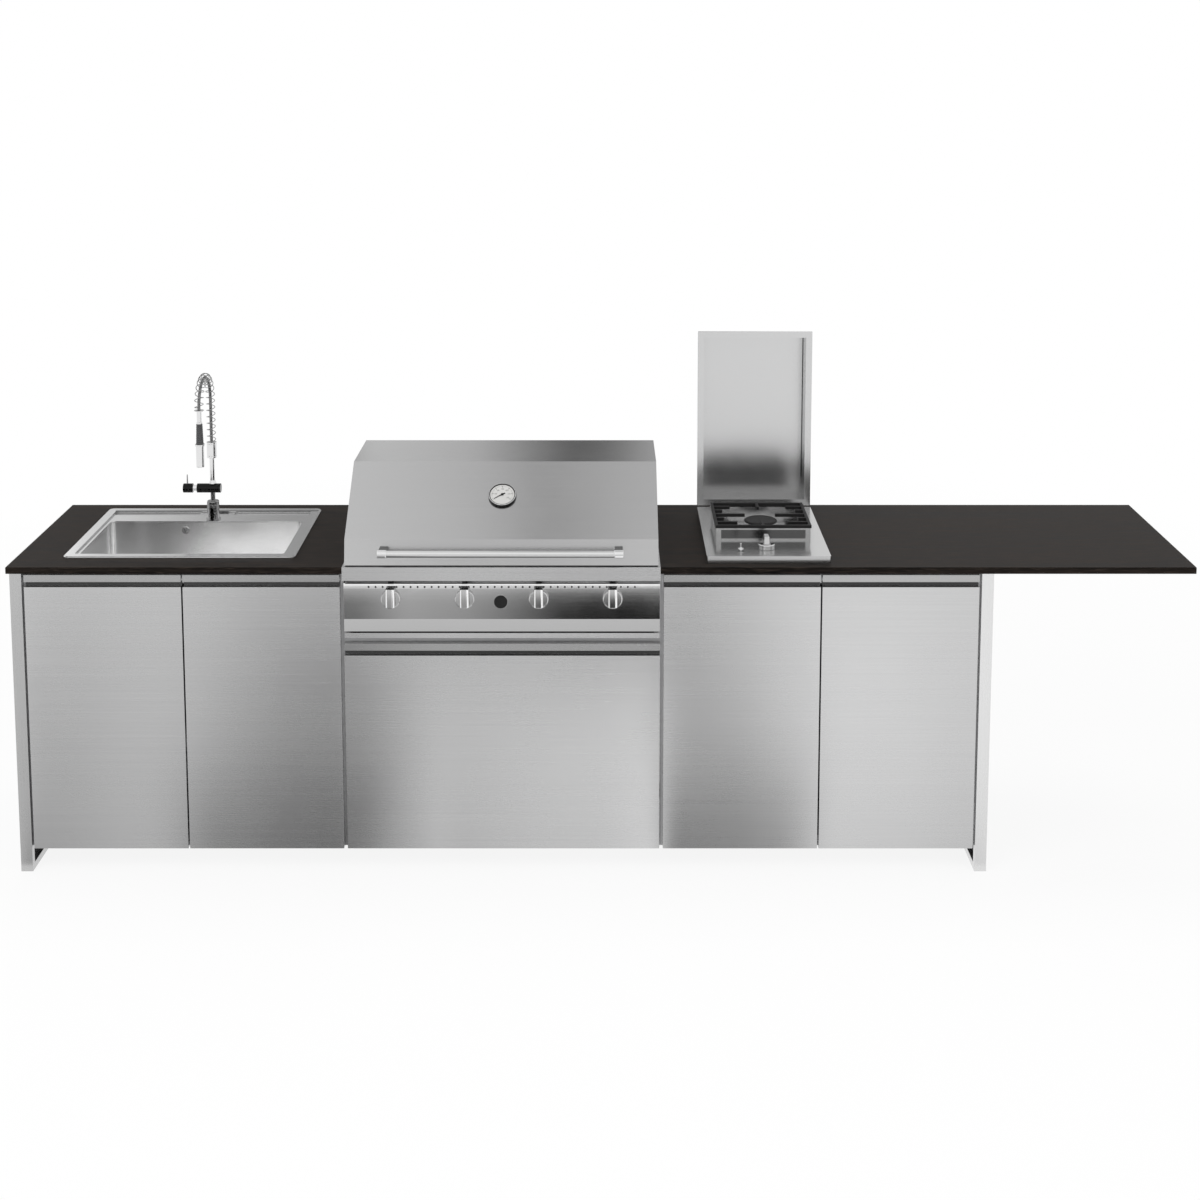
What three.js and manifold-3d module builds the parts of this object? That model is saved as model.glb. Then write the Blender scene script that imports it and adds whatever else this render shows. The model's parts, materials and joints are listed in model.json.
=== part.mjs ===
// Outdoor kitchen island: sink module, gas grill module and hob module in a row under one worktop.
// Millimetres, +Z up. Built with x from the worktop's left end, y from its front edge and z from the
// floor, then shifted so that the origin is the middle of the footprint on the floor.
import * as THREE from 'three';
import { mergeVertices } from 'three/addons/utils/BufferGeometryUtils.js';
import Module from 'manifold-3d';

const wasm = await Module();
wasm.setup();

// Shared values
const clearance = 0.3;
const overrun = 2;
const weld = 0.0005;
const sheet = 2;
const thinSheet = 1.2;

// Island and worktop
const moduleWidth = 900;
const moduleCount = 3;
const worktopDepth = 650;
const worktopHeight = 907;
const worktopThickness = 19;
const sideLip = 2;
const legWidth = 34;
const legDepth = 20;
const frameRail = 20;
const frontOverhang = 24;
const rearOverhang = 24;
const snackOverhang = 560;
const worktopEase = 1.5;
const endPanelInset = 2;
const endPanelThickness = 16;

// Arms that carry the snack end
const bearerReach = 460;
const bearerHeight = 20;
const bearerWidth = 40;
const bearerFrontInset = 90;
const bearerPlateHeight = 60;
const bearerPlate = 5;

// Cabinets, shelves and foot rails
const frontThickness = 20;
const cabinetBottom = 70;
const cabinetFlange = 20;
const floorEdge = 30;
const topRailDepth = 40;
const shelfDrop = 347;
const shelfEdge = 30;
const shelfSetback = 24;
const ledgeWidth = 15;
const backVentWidth = 120;
const backVentHeight = 40;
const footRailHeight = 20;
const footRailWidth = 40;
const footRailSetback = 150;
const footRadius = 22;
const footStemRadius = 8;
const footPadHeight = 8;
const footInset = 130;

// Doors and drawer
const doorBottom = 69.5;
const doorTopGap = 10;
const lipHeight = 21;
const grooveHeight = 14.5;
const grooveDepth = 18;
const doorMargin = 6;
const doorSeam = 4;
const drawerMargin = 4;
const drawerDrop = 229;
const drainWidth = 60;
const drainDepth = 8;
const drawerBoxDepth = 520;
const drawerBoxHeight = 220;
const drawerFloorGap = 24;
const runnerHeight = 45;
const runnerLength = 500;

// Grill body
const fasciaHeight = 39;
const rearStrip = 50;
const fireboxInset = 24;
const fireboxSetback = 71;
const fireboxRearInset = 20;
const fireboxDepth = 195;
const greaseSlotWidth = 160;
const grateDrop = 23;
const grateLedge = 12;
const hoodLugThickness = 4;
const hoodLugHalf = 10;
const hoodLugReach = 50;
const hoodLugNeck = 28;

// Control panel
const panelMargin = 5;
const panelDrop = 47.5;
const panelHeight = 145.6;
const lowerBand = 35.7;
const bandStep = 1.5;
const panelRoll = 14;
const ventCount = 39;
const ventPitch = 19.7;
const ventRadius = 3;
const ventDrop = 16.5;
const knobCount = 4;
const knobPitch = 208;
const knobDrop = 97;
const badgeRadius = 20;
const badgeRise = 0.8;
const badgeDrop = 10;
const badgeOffset = 3;

// Grill knobs
const knobRadius = 28.5;
const knobSkirt = 10;
const knobChamfer = 3;
const gripWidth = 25;
const gripLength = 60;
const gripRise = 18;
const shaftRadius = 4;
const shaftHole = 7;
const valveSetback = 16;

// Gas manifold and burners
const manifoldRadius = 11;
const manifoldStandoff = 27;
const valveRadius = 10;
const burnerRadius = 13;
const burnerEndGap = 20;
const burnerFlangeRadius = 18;
const burnerFlange = 3;
const burnerTailLength = 24;
const burnerTailRadius = 9;

// Cooking grates and warming rack
const grateBar = 8;
const grateRodWidth = 7;
const grateRodPitch = 21;
const grateSideGap = 4;
const rackRise = 83;
const rackDepth = 102;
const rackPivotGap = 28;
const rackWire = 6;
const rackWireCount = 5;

// Drip tray
const trayInset = 2;
const trayDrop = 198;
const trayHeight = 15;
const trayBackInset = 40;
const trayFrontWall = 4;

// Hood, from its lower edge up over the crown and down its back
const hoodInset = 6;
const hoodLift = 2.5;
const hoodFrontY = 11;
const hoodCreaseY = 24;
const hoodCreaseRise = 74;
const hoodCrownY = 244;
const hoodCrownRise = 242;
const hoodBackInset = 80;
const hoodBackRise = 239;
const hoodRearInset = 40;
const hoodRearRise = 93;
const hoodPivotInset = 60;
const hoodPivotRise = 28;
const hoodPinRadius = 5;
const hoodHeel = 8;
const hoodHeelRise = 11;

// Hood handle
const handleRadius = 14.25;
const handleLength = 684;
const handleReach = 31;
const handleRise = 45;
const collarRadius = 17;
const collarLength = 27;
const collarWall = 2;
const standoffHeight = 24;

// Thermometer
const gaugeSetback = 120;
const gaugeRadius = 40;
const gaugeDepth = 16;
const gaugeStemRadius = 6;
const dialRadius = 35;
const dialThickness = 1;
const dialRecess = 5;
const needleLength = 27;
const needleTail = 9;
const needleWidth = 3;
const needleThickness = 1;
const needleHubRadius = 4;
const needleAngle = 212;

// Sink
const sinkInset = 100;
const sinkY = 80;
const sinkWidth = 660;
const sinkLedge = 126;
const sinkCorner = 16;
const sinkRimRise = 7;
const sinkRimWidth = 27;
const sinkRearRim = 32;
const sinkLedgeRise = 2;
const sinkSeat = 12;
const sinkSeatDrop = 4;
const bowlLeft = 38;
const bowlWidth = 584;
const bowlFront = 34;
const bowlLength = 344;
const bowlDepth = 180;
const bowlCorner = 18;
const bandDepth = 27;
const bandDrop = 3;
const drainRadius = 45;
const strainerFlange = 52;
const strainerDepth = 30;
const strainerWall = 1.5;
const strainerHoleRadius = 5;
const strainerHoleCount = 6;
const overflowInset = 226;
const overflowDrop = 27;
const overflowRadius = 11.5;
const overflowNeck = 7;
const overflowCap = 3;
const trapRadius = 32;
const trapHeight = 80;
const trapPipeRadius = 20;
const trapPipeLength = 35;
const trapOutletLength = 120;

// Tap
const tapInset = 344;
const tapSetback = 24;
const tapBaseRadius = 18.5;
const tapFlangeRadius = 22;
const tapFlange = 3;
const tapBaseRise = 60;
const tapNeckRadius = 7;
const tapBarRise = 99;
const tapBarRadius = 14;
const tapBarRight = 25;
const tapBarLeft = 47;
const tapRingLength = 13;
const tapRingRadius = 9;
const leverLength = 29;
const leverPinRadius = 2.5;
const leverPinTip = 1.5;
const leverPinRise = 28;
const leverPinInset = 12;
const riserRadius = 7.5;
const riserFlare = 11;
const sleeveRise = 195;
const sleeveLength = 48;
const sleeveRadius = 15;
const tapStemRadius = 14;
const tapNutRadius = 20;
const tapNutHeight = 10;
const tapStemDrop = 20;

// Spring spout
const archRise = 379;
const archRadius = 78;
const springRadius = 12.6;
const springWire = 2.4;
const springPitch = 19.6;
const springFrontDrop = 3;
const springSides = 5;
const springSteps = 8;
const hoseRadius = 4.5;
const ferruleRadius = 7;
const ferruleLength = 41;
const springSeatRadius = 14.5;
const springSeat = 2;
const sprayGripRadius = 11;
const sprayGripTopRadius = 9;
const sprayGripLength = 61;
const sprayRingRadius = 14.5;
const sprayRing = 5;
const sprayHeadRadius = 12;
const sprayHeadLength = 64;
const sprayNozzleDepth = 4;

// Hob
const hobInset = 127;
const hobY = 35.5;
const hobWidth = 350;
const hobDepth = 510;
const hobRise = 21.6;
const hobCorner = 4;
const hobSeat = 10;
const burnerBoxX = 36;
const burnerBoxWidth = 273;
const burnerBoxY = 153.5;
const burnerBoxDepth = 241;
const burnerBoxRise = 58;
const burnerBoxWall = 14;
const burnerWellDepth = 22;
const frontWindowDrop = 5;
const frontWindowDepth = 3;
const hobBurnerSetback = 96;
const hobBurnerRadius = 48;
const hobCapHeight = 7;
const hobCupRadius = 36;
const hobGrateHeight = 9;
const hobGrateBar = 8;
const hobGrateLip = 2.5;
const hobFingerShares = [0.34, 0.16, 0.62, 0.16, 0.42];
const hobGrateEndFinger = 52;
const hobKnobInset = 174;
const hobKnobSetback = 75.5;
const hobKnobRadius = 25;
const hobKnobSkirt = 15;
const hobGripBottom = 22;
const hobGripTop = 16;
const hobGripDepth = 34;
const hobKnobRise = 60;
const hobShaftRadius = 4;
const hobShaftLength = 30;
const buttonInset = 100;
const buttonSetback = 58.5;
const buttonRadius = 4;
const buttonTip = 2;
const buttonRise = 20;
const buttonCollarRadius = 9;
const buttonCollar = 3;
const buttonTravel = 3;

// Hob lid, standing open
const lidLength = 546;
const lidPan = 85;
const lidFlange = 19;
const lidReturn = 8;
const lidBottomGap = 1;
const hingeRadius = 4.5;
const hingePinRadius = 2;
const hingeDrop = 3;
const knuckleLength = 30;
const knuckleInset = 40;
const lidScrewRadius = 3.5;
const lidScrewRise = 1;
const lidScrewLowShare = 0.36;
const lidScrewHighShare = 0.9;

// Faces to a round
const fineFaces = 20;
const midFaces = 14;
const coarseFaces = 10;
const smallFaces = 6;
const arcSteps = 2;

// Levels and places that follow from the sizes above
const underTop = worktopHeight - worktopThickness;
const shelfTop = worktopHeight - shelfDrop;
const gap = clearance / 2;
const moduleX = (index) => sideLip + legWidth + index * moduleWidth;
const frameRight = moduleX(moduleCount) + legWidth;
const worktopLength = frameRight + snackOverhang;
const frontY = frontOverhang;
const carcassY = frontY + frontThickness + clearance;
const backY = worktopDepth - rearOverhang;
const carcassTop = underTop - clearance;
const doorLipTop = underTop - doorTopGap;
const drawerLipTop = worktopHeight - drawerDrop;
const fasciaLeft = moduleX(1) + drawerMargin;
const fasciaRight = moduleX(2) - drawerMargin;
const rimDepth = worktopDepth - rearStrip;
const fireboxLeft = fasciaLeft + fireboxInset;
const fireboxRight = fasciaRight - fireboxInset;
const fireboxFront = frontY + fireboxSetback;
const fireboxBack = rimDepth - fireboxRearInset;
const fireboxFloor = worktopHeight - fireboxDepth;
const grateTop = worktopHeight - grateDrop;
const panelTop = worktopHeight - panelDrop;
const panelBottom = panelTop - panelHeight;
const ventHeight = panelTop - ventDrop;
const panelLeft = moduleX(1) + panelMargin;
const panelRight = moduleX(2) - panelMargin;
const grillMiddle = (moduleX(1) + moduleX(2)) / 2;
const knobX = (index) => grillMiddle + (index - (knobCount - 1) / 2) * knobPitch;
const knobHeight = worktopHeight - knobDrop;
const valveFace = frontY + valveSetback;
const manifoldAxis = fireboxFront - manifoldStandoff;
const burnerBack = fireboxBack - burnerEndGap;
const trayTop = worktopHeight - trayDrop;
const trayBack = rimDepth - trayBackInset;
const hoodLeft = fasciaLeft + hoodInset;
const hoodRight = fasciaRight - hoodInset;
const hoodBottom = worktopHeight + hoodLift;
const hoodCreaseZ = worktopHeight + hoodCreaseRise;
const hoodCrownZ = worktopHeight + hoodCrownRise;
const hoodBackY = rimDepth - hoodBackInset;
const hoodBackZ = worktopHeight + hoodBackRise;
const hoodRearY = rimDepth - hoodRearInset;
const hoodRearZ = worktopHeight + hoodRearRise;
const hoodPivotY = rimDepth - hoodPivotInset;
const hoodPivotZ = worktopHeight + hoodPivotRise;
const hoodHeelY = hoodPivotY + hoodHeel;
const hoodHeelZ = worktopHeight + hoodHeelRise;
const rackHeight = worktopHeight + rackRise;
const rackBack = hoodPivotY - rackPivotGap;
const rackFront = rackBack - rackDepth;
const handleY = -handleReach;
const handleZ = worktopHeight + handleRise;
const gaugeY = hoodCreaseY + gaugeSetback;
const drawerBoxLeft = moduleX(1) + gap + cabinetFlange + clearance;
const drawerBoxRight = moduleX(2) - gap - cabinetFlange - clearance;
const sinkX = moduleX(0) + sinkInset;
const sinkBowlBack = sinkY + bowlFront + bowlLength;
const sinkDepth = bowlFront + bowlLength + sinkLedge;
const ledgeZ = worktopHeight + sinkLedgeRise;
const bowlFloor = worktopHeight - bowlDepth;
const overflowX = sinkX + bowlLeft + overflowInset;
const overflowZ = worktopHeight - overflowDrop;
const tapX = sinkX + tapInset;
const tapY = sinkBowlBack + tapSetback;
const tapBaseTop = worktopHeight + tapBaseRise;
const tapBarZ = worktopHeight + tapBarRise;
const sleeveBottom = worktopHeight + sleeveRise;
const sleeveTop = sleeveBottom + sleeveLength;
const archLevel = worktopHeight + archRise;
const hobX = moduleX(2) + hobInset;
const hobTop = worktopHeight + hobRise;
const burnerBoxTop = worktopHeight + burnerBoxRise;
const hobBurnerY = hobY + burnerBoxY + hobBurnerSetback;
const hobKnobX = hobX + hobKnobInset;
const hobKnobY = hobY + hobKnobSetback;
const hobKnobTop = worktopHeight + hobKnobRise;
const buttonX = hobX + buttonInset;
const buttonY = hobY + buttonSetback;
const hingeY = hobY + hobDepth + clearance + hingeRadius;
const hingeZ = hobTop - hingeDrop;

// Turns a closed three.js geometry into a solid that can be joined and cut.
function toSolid(geometry) {
  const bare = geometry.clone();
  bare.deleteAttribute('normal');
  bare.deleteAttribute('uv');
  const merged = mergeVertices(bare, weld);
  const points = merged.attributes.position.array;
  const corners = [];
  let volume = 0;
  for (let i = 0; i < merged.index.count; i += 3) {
    const [a, b, c] = [0, 1, 2].map((k) => merged.index.getX(i + k));
    if (a === b || b === c || c === a) continue;
    corners.push([a, b, c]);
    const [p, q, r] = [a, b, c].map((k) => new THREE.Vector3().fromArray(points, k * 3));
    volume += p.dot(q.cross(r));
  }
  const turned = volume < 0 ? corners.map(([a, b, c]) => [a, c, b]) : corners;
  return new wasm.Manifold(new wasm.Mesh({
    numProp: 3,
    vertProperties: new Float32Array(points),
    triVerts: new Uint32Array(turned.flat()),
  }));
}

// The way back, from a solid to a three.js geometry.
function toGeometry(solid) {
  const mesh = solid.getMesh();
  const geometry = new THREE.BufferGeometry();
  geometry.setAttribute('position', new THREE.BufferAttribute(new Float32Array(mesh.vertProperties), 3));
  geometry.setIndex(new THREE.BufferAttribute(new Uint32Array(mesh.triVerts), 1));
  geometry.computeVertexNormals();
  return geometry;
}

const join = (...solids) => solids.flat().reduce((sum, solid) => sum.add(solid));
const cut = (solid, ...tools) => tools.flat().reduce((rest, tool) => rest.subtract(tool), solid);

function block(x0, x1, y0, y1, z0, z1) {
  const box = new THREE.BoxGeometry(x1 - x0, y1 - y0, z1 - z0);
  return toSolid(box.translate((x0 + x1) / 2, (y0 + y1) / 2, (z0 + z1) / 2));
}

function outline(points) {
  return new THREE.Shape(points.map(([u, v]) => new THREE.Vector2(u, v)));
}

function roundedOutline(u0, u1, v0, v1, radius) {
  const shape = new THREE.Shape();
  shape.absarc(u1 - radius, v0 + radius, radius, -Math.PI / 2, 0, false);
  shape.absarc(u1 - radius, v1 - radius, radius, 0, Math.PI / 2, false);
  shape.absarc(u0 + radius, v1 - radius, radius, Math.PI / 2, Math.PI, false);
  shape.absarc(u0 + radius, v0 + radius, radius, Math.PI, Math.PI * 1.5, false);
  shape.closePath();
  return shape;
}

function extrude(shape, depth, xAxis, yAxis, zAxis, origin) {
  const geometry = new THREE.ExtrudeGeometry(shape, { depth, bevelEnabled: false, curveSegments: arcSteps });
  geometry.applyMatrix4(new THREE.Matrix4().makeBasis(xAxis, yAxis, zAxis));
  return toSolid(geometry.translate(origin.x, origin.y, origin.z));
}

const unitX = new THREE.Vector3(1, 0, 0);
const unitY = new THREE.Vector3(0, 1, 0);
const unitZ = new THREE.Vector3(0, 0, 1);

// A section in (y, z) run along x, one in (x, z) run along y, and one in (x, y) run along z.
const alongX = (shape, x0, x1) => extrude(shape, x1 - x0, unitY, unitZ, unitX, new THREE.Vector3(x0, 0, 0));
const alongY = (shape, y0, y1) =>
  extrude(shape, y1 - y0, unitX, unitZ, unitY.clone().negate(), new THREE.Vector3(0, y1, 0));
const alongZ = (shape, z0, z1) => extrude(shape, z1 - z0, unitX, unitY, unitZ, new THREE.Vector3(0, 0, z0));

// A turned piece: profile of [radius, height] pairs about an axis through a point.
function turned(profile, origin, axis = unitZ, faces = fineFaces) {
  const points = profile.map(([radius, height]) => new THREE.Vector2(radius, height));
  const geometry = new THREE.LatheGeometry(points, faces);
  const turn = new THREE.Quaternion().setFromUnitVectors(unitY, axis);
  geometry.applyMatrix4(new THREE.Matrix4().makeRotationFromQuaternion(turn));
  return toSolid(geometry.translate(origin.x, origin.y, origin.z));
}

// A plain round bar between two points.
function rod(from, to, radius, faces = midFaces, endRadius = radius) {
  const length = from.distanceTo(to);
  const axis = to.clone().sub(from).normalize();
  return turned([[0, 0], [radius, 0], [endRadius, length], [0, length]], from, axis, faces);
}

const at = (x, y, z) => new THREE.Vector3(x, y, z);

const finishes = {
  worktop: [0x2d2723, 0.45, 0],
  brushed: [0xb9b9b8, 0.35, 0.9],
  polished: [0xc8c8c8, 0.12, 1],
  sheetSteel: [0x8f9090, 0.45, 0.85],
  darkSteel: [0x3a3b3c, 0.5, 0.7],
  castIron: [0x202122, 0.7, 0.3],
  chrome: [0xdadada, 0.06, 1],
  rubber: [0x2c2c2e, 0.75, 0],
  dial: [0xe9e7df, 0.6, 0],
  pointer: [0x151515, 0.5, 0],
  plastic: [0x9a9a98, 0.5, 0],
};

const island = new THREE.Group();
const model = new THREE.Group();
island.add(model);

function addPiece(name, solid, finish) {
  const [color, roughness, metalness] = finishes[finish];
  const material = new THREE.MeshStandardMaterial({ color, roughness, metalness });
  const mesh = new THREE.Mesh(toGeometry(solid), material);
  mesh.name = name;
  model.add(mesh);
}

// Worktop: one slab with an eased edge, open at the front for the grill.
function worktop() {
  const sinkCut = [sinkX + sinkSeat, sinkX + sinkWidth - sinkSeat, sinkY + sinkSeat, sinkY + sinkDepth - sinkSeat];
  const hobCut = [hobX + hobSeat, hobX + hobWidth - hobSeat, hobY + hobSeat, hobY + hobDepth - hobSeat];
  const section = outline([
    [worktopEase, underTop], [worktopDepth - worktopEase, underTop], [worktopDepth, underTop + worktopEase],
    [worktopDepth, worktopHeight - worktopEase], [worktopDepth - worktopEase, worktopHeight],
    [worktopEase, worktopHeight], [0, worktopHeight - worktopEase], [0, underTop + worktopEase],
  ]);
  const low = underTop - overrun;
  const high = worktopHeight + overrun;
  return cut(
    alongX(section, 0, worktopLength),
    block(fasciaLeft - clearance, fasciaRight + clearance, -overrun, rimDepth + clearance, low, high),
    alongZ(roundedOutline(...sinkCut, sinkCorner - sinkSeat), low, high),
    block(...hobCut, low, high),
  );
}

// End frame: a rectangular ring of box section with a folded panel in its outer half.
function endFrame(x0, x1) {
  const ring = roundedOutline(frontY, backY, 0, carcassTop, worktopEase);
  const opening = outline([
    [frontY + legDepth, frameRail], [backY - legDepth, frameRail],
    [backY - legDepth, carcassTop - frameRail], [frontY + legDepth, carcassTop - frameRail],
  ]);
  return cut(alongX(ring, x0, x1), alongX(opening, x0 - overrun, x1 + overrun));
}

function endPanel(outerX, inward) {
  const y0 = frontY + legDepth + clearance;
  const y1 = backY - legDepth - clearance;
  const z0 = frameRail + clearance;
  const z1 = carcassTop - frameRail - clearance;
  const face = outerX + inward * endPanelInset;
  const inner = face + inward * endPanelThickness;
  const pocketFrom = face + inward * sheet;
  const pocketTo = inner + inward * overrun;
  return cut(
    block(Math.min(face, inner), Math.max(face, inner), y0, y1, z0, z1),
    block(Math.min(pocketFrom, pocketTo), Math.max(pocketFrom, pocketTo),
      y0 + sheet, y1 - sheet, z0 + sheet, z1 - sheet),
  );
}

// Bearer under the snack end: end plate, two arms and a cross bar.
function overhangBearer() {
  const x0 = frameRight + clearance;
  const x1 = x0 + bearerReach;
  const top = underTop - clearance;
  const bottom = top - bearerHeight;
  const frontArm = bearerFrontInset;
  const rearArm = worktopDepth - bearerFrontInset - bearerWidth;
  const arm = (y) => block(x0, x1, y, y + bearerWidth, bottom, top);
  return join(
    block(x0, x0 + bearerPlate, frontArm, rearArm + bearerWidth, top - bearerPlateHeight, top),
    arm(frontArm),
    arm(rearArm),
    block(x1 - bearerWidth, x1, frontArm, rearArm + bearerWidth, bottom, top),
  );
}

// Cabinet carcass: folded sheet sides, back and floor, open in front, with front and top flanges.
function carcass(index) {
  const x0 = moduleX(index) + gap;
  const x1 = moduleX(index + 1) - gap;
  const floorZ = cabinetBottom + floorEdge;
  const walls = cut(
    block(x0, x1, carcassY, backY, cabinetBottom, carcassTop),
    block(x0 + sheet, x1 - sheet, carcassY - overrun, backY - sheet, floorZ, carcassTop + overrun),
    block(x0 + sheet, x1 - sheet, carcassY + sheet, backY - sheet, cabinetBottom - overrun, floorZ - sheet),
  );
  const frontFlange = (a, b) => block(a, b, carcassY, carcassY + sheet, cabinetBottom, carcassTop);
  const topFlange = (a, b) => block(a, b, carcassY, backY, carcassTop - sheet, carcassTop);
  const ventX = (x0 + x1) / 2 - backVentWidth / 2;
  const ventZ = floorZ + backVentHeight;
  const vents = [-2, 2].map((step) => block(
    ventX + step * backVentWidth, ventX + (step + 1) * backVentWidth,
    backY - sheet - overrun, backY + overrun, ventZ, ventZ + backVentHeight,
  ));
  return cut(join(
    walls,
    frontFlange(x0, x0 + cabinetFlange),
    frontFlange(x1 - cabinetFlange, x1),
    topFlange(x0, x0 + cabinetFlange),
    topFlange(x1 - cabinetFlange, x1),
  ), vents);
}

// Cabinet for a sink or hob: rails across the top and ledges for the shelf.
function shelfCabinet(index) {
  const x0 = moduleX(index) + gap;
  const x1 = moduleX(index + 1) - gap;
  const ledgeTop = shelfTop - shelfEdge - clearance;
  const ledge = (a, b) => block(a, b, carcassY + shelfSetback, backY - sheet, ledgeTop - sheet, ledgeTop);
  return join(
    carcass(index),
    block(x0, x1, carcassY, carcassY + sheet, carcassTop - topRailDepth, carcassTop),
    block(x0, x1, backY - topRailDepth, backY, carcassTop - sheet, carcassTop),
    ledge(x0, x0 + ledgeWidth),
    ledge(x1 - ledgeWidth, x1),
  );
}

function shelf(index) {
  const x0 = moduleX(index) + gap + sheet + clearance;
  const x1 = moduleX(index + 1) - gap - sheet - clearance;
  const y0 = carcassY + shelfSetback;
  const y1 = backY - sheet - clearance;
  return cut(
    block(x0, x1, y0, y1, shelfTop - shelfEdge, shelfTop),
    block(x0 + sheet, x1 - sheet, y0 + sheet, y1 - sheet, shelfTop - shelfEdge - overrun, shelfTop - sheet),
  );
}

// Cabinet for the grill: a rail between drawer and drip tray, ledges that the tray slides on, and notches
// in the front flanges for the drawer's side rails.
function grillCabinet() {
  const x0 = moduleX(1) + gap;
  const x1 = moduleX(2) - gap;
  const ledgeTop = trayTop - trayHeight - clearance;
  const railDepth = topRailDepth;
  const ledge = (a, b) => block(a, b, carcassY, trayBack + railDepth, ledgeTop - sheet, ledgeTop);
  const midRail = cut(
    block(x0, x1, carcassY, carcassY + railDepth, drawerLipTop + clearance, ledgeTop),
    block(x0 + sheet, x1 - sheet, carcassY + sheet, carcassY + railDepth + overrun,
      drawerLipTop - overrun, ledgeTop - sheet),
  );
  const railZ = cabinetBottom + floorEdge + drawerFloorGap + drawerBoxHeight / 2;
  const railNotch = (a, b) => block(a, b, carcassY - overrun, carcassY + sheet + overrun,
    railZ - runnerHeight / 2, railZ + runnerHeight / 2);
  return cut(
    join(
      carcass(1),
      midRail,
      ledge(x0, x0 + cabinetFlange + ledgeWidth),
      ledge(x1 - cabinetFlange - ledgeWidth, x1),
    ),
    railNotch(x0 + sheet, x0 + cabinetFlange + overrun),
    railNotch(x1 - cabinetFlange - overrun, x1 - sheet),
  );
}

// Foot rail under the cabinets with its adjusting feet.
function footRail(y0) {
  const x0 = moduleX(0) + clearance;
  const x1 = moduleX(moduleCount) - clearance;
  const top = cabinetBottom - clearance;
  const bottom = top - footRailHeight;
  const middle = y0 + footRailWidth / 2;
  const channel = cut(
    block(x0, x1, y0, y0 + footRailWidth, bottom, top),
    block(x0 - overrun, x1 + overrun, y0 + sheet, y0 + footRailWidth - sheet, bottom - overrun, top - sheet),
  );
  const places = [moduleX(0) + footInset, moduleX(1), moduleX(2), moduleX(3) - footInset];
  const feet = places.map((x) => turned([
    [0, 0], [footRadius, 0], [footRadius - overrun, footPadHeight], [footStemRadius, footPadHeight],
    [footStemRadius, top - sheet / 2], [0, top - sheet / 2],
  ], at(x, middle, 0), unitZ, coarseFaces));
  return join(channel, feet);
}

// Front panel shared by doors and drawer: double skin, a finger groove and a hooked lip on top.
function frontPanel(x0, x1, bottom, top) {
  const y0 = frontY;
  const y1 = frontY + frontThickness;
  const lipBottom = top - lipHeight;
  const panelEdge = lipBottom - grooveHeight;
  const grooveBack = y0 + grooveDepth;
  const section = outline([
    [y0, bottom], [y1, bottom], [y1, top], [y0, top], [y0, lipBottom], [y0 + sheet, lipBottom],
    [y0 + sheet, top - sheet], [grooveBack, top - sheet], [grooveBack, panelEdge], [y0, panelEdge],
  ]);
  const drains = [x0 + drainWidth, x1 - drainWidth * 2].map((x) => block(
    x, x + drainWidth, (y0 + y1 - drainDepth) / 2, (y0 + y1 + drainDepth) / 2, bottom - overrun, bottom + overrun * 2,
  ));
  return cut(
    alongX(section, x0, x1),
    block(x0 + sheet, x1 - sheet, y0 + sheet, y1 - sheet, bottom + sheet, panelEdge - sheet),
    drains,
  );
}

function doorEdges(moduleIndex, side) {
  const middle = moduleX(moduleIndex) + moduleWidth / 2;
  return side === 0
    ? [moduleX(moduleIndex) + doorMargin, middle - doorSeam / 2]
    : [middle + doorSeam / 2, moduleX(moduleIndex + 1) - doorMargin];
}

// Drawer box with a slide rail on each side, and the channels that it runs in.
function drawerBox() {
  const y0 = frontY + frontThickness + clearance;
  const y1 = y0 + drawerBoxDepth;
  const z0 = cabinetBottom + floorEdge + drawerFloorGap;
  const z1 = z0 + drawerBoxHeight;
  const shell = cut(
    block(drawerBoxLeft, drawerBoxRight, y0, y1, z0, z1),
    block(drawerBoxLeft + sheet, drawerBoxRight - sheet, y0 + sheet, y1 - sheet, z0 + sheet, z1 + overrun),
  );
  const railZ = z0 + drawerBoxHeight / 2;
  const railHalf = runnerHeight / 2 - sheet - clearance;
  const railReach = cabinetFlange - sheet * 2 - clearance * 2;
  const rail = (a, b) => block(a, b, y0 + cabinetFlange, y1, railZ - railHalf, railZ + railHalf);
  return join(
    shell,
    rail(drawerBoxLeft - railReach, drawerBoxLeft + sheet),
    rail(drawerBoxRight - sheet, drawerBoxRight + railReach),
  );
}

function drawerRunner(side) {
  const y0 = carcassY + cabinetFlange / 2;
  const y1 = y0 + runnerLength;
  const z = cabinetBottom + floorEdge + drawerFloorGap + drawerBoxHeight / 2;
  const wall = side === 0 ? moduleX(1) + gap + sheet + clearance : moduleX(2) - gap - sheet - clearance;
  const mouth = side === 0 ? drawerBoxLeft - clearance : drawerBoxRight + clearance;
  const inward = Math.sign(mouth - wall);
  const bodyX = [wall, mouth].sort((a, b) => a - b);
  const hollowX = [wall + inward * sheet, mouth + inward * overrun].sort((a, b) => a - b);
  return cut(
    block(...bodyX, y0, y1, z - runnerHeight / 2, z + runnerHeight / 2),
    block(...hollowX, y0 - overrun, y1 + overrun, z - runnerHeight / 2 + sheet, z + runnerHeight / 2 - sheet),
  );
}

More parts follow.
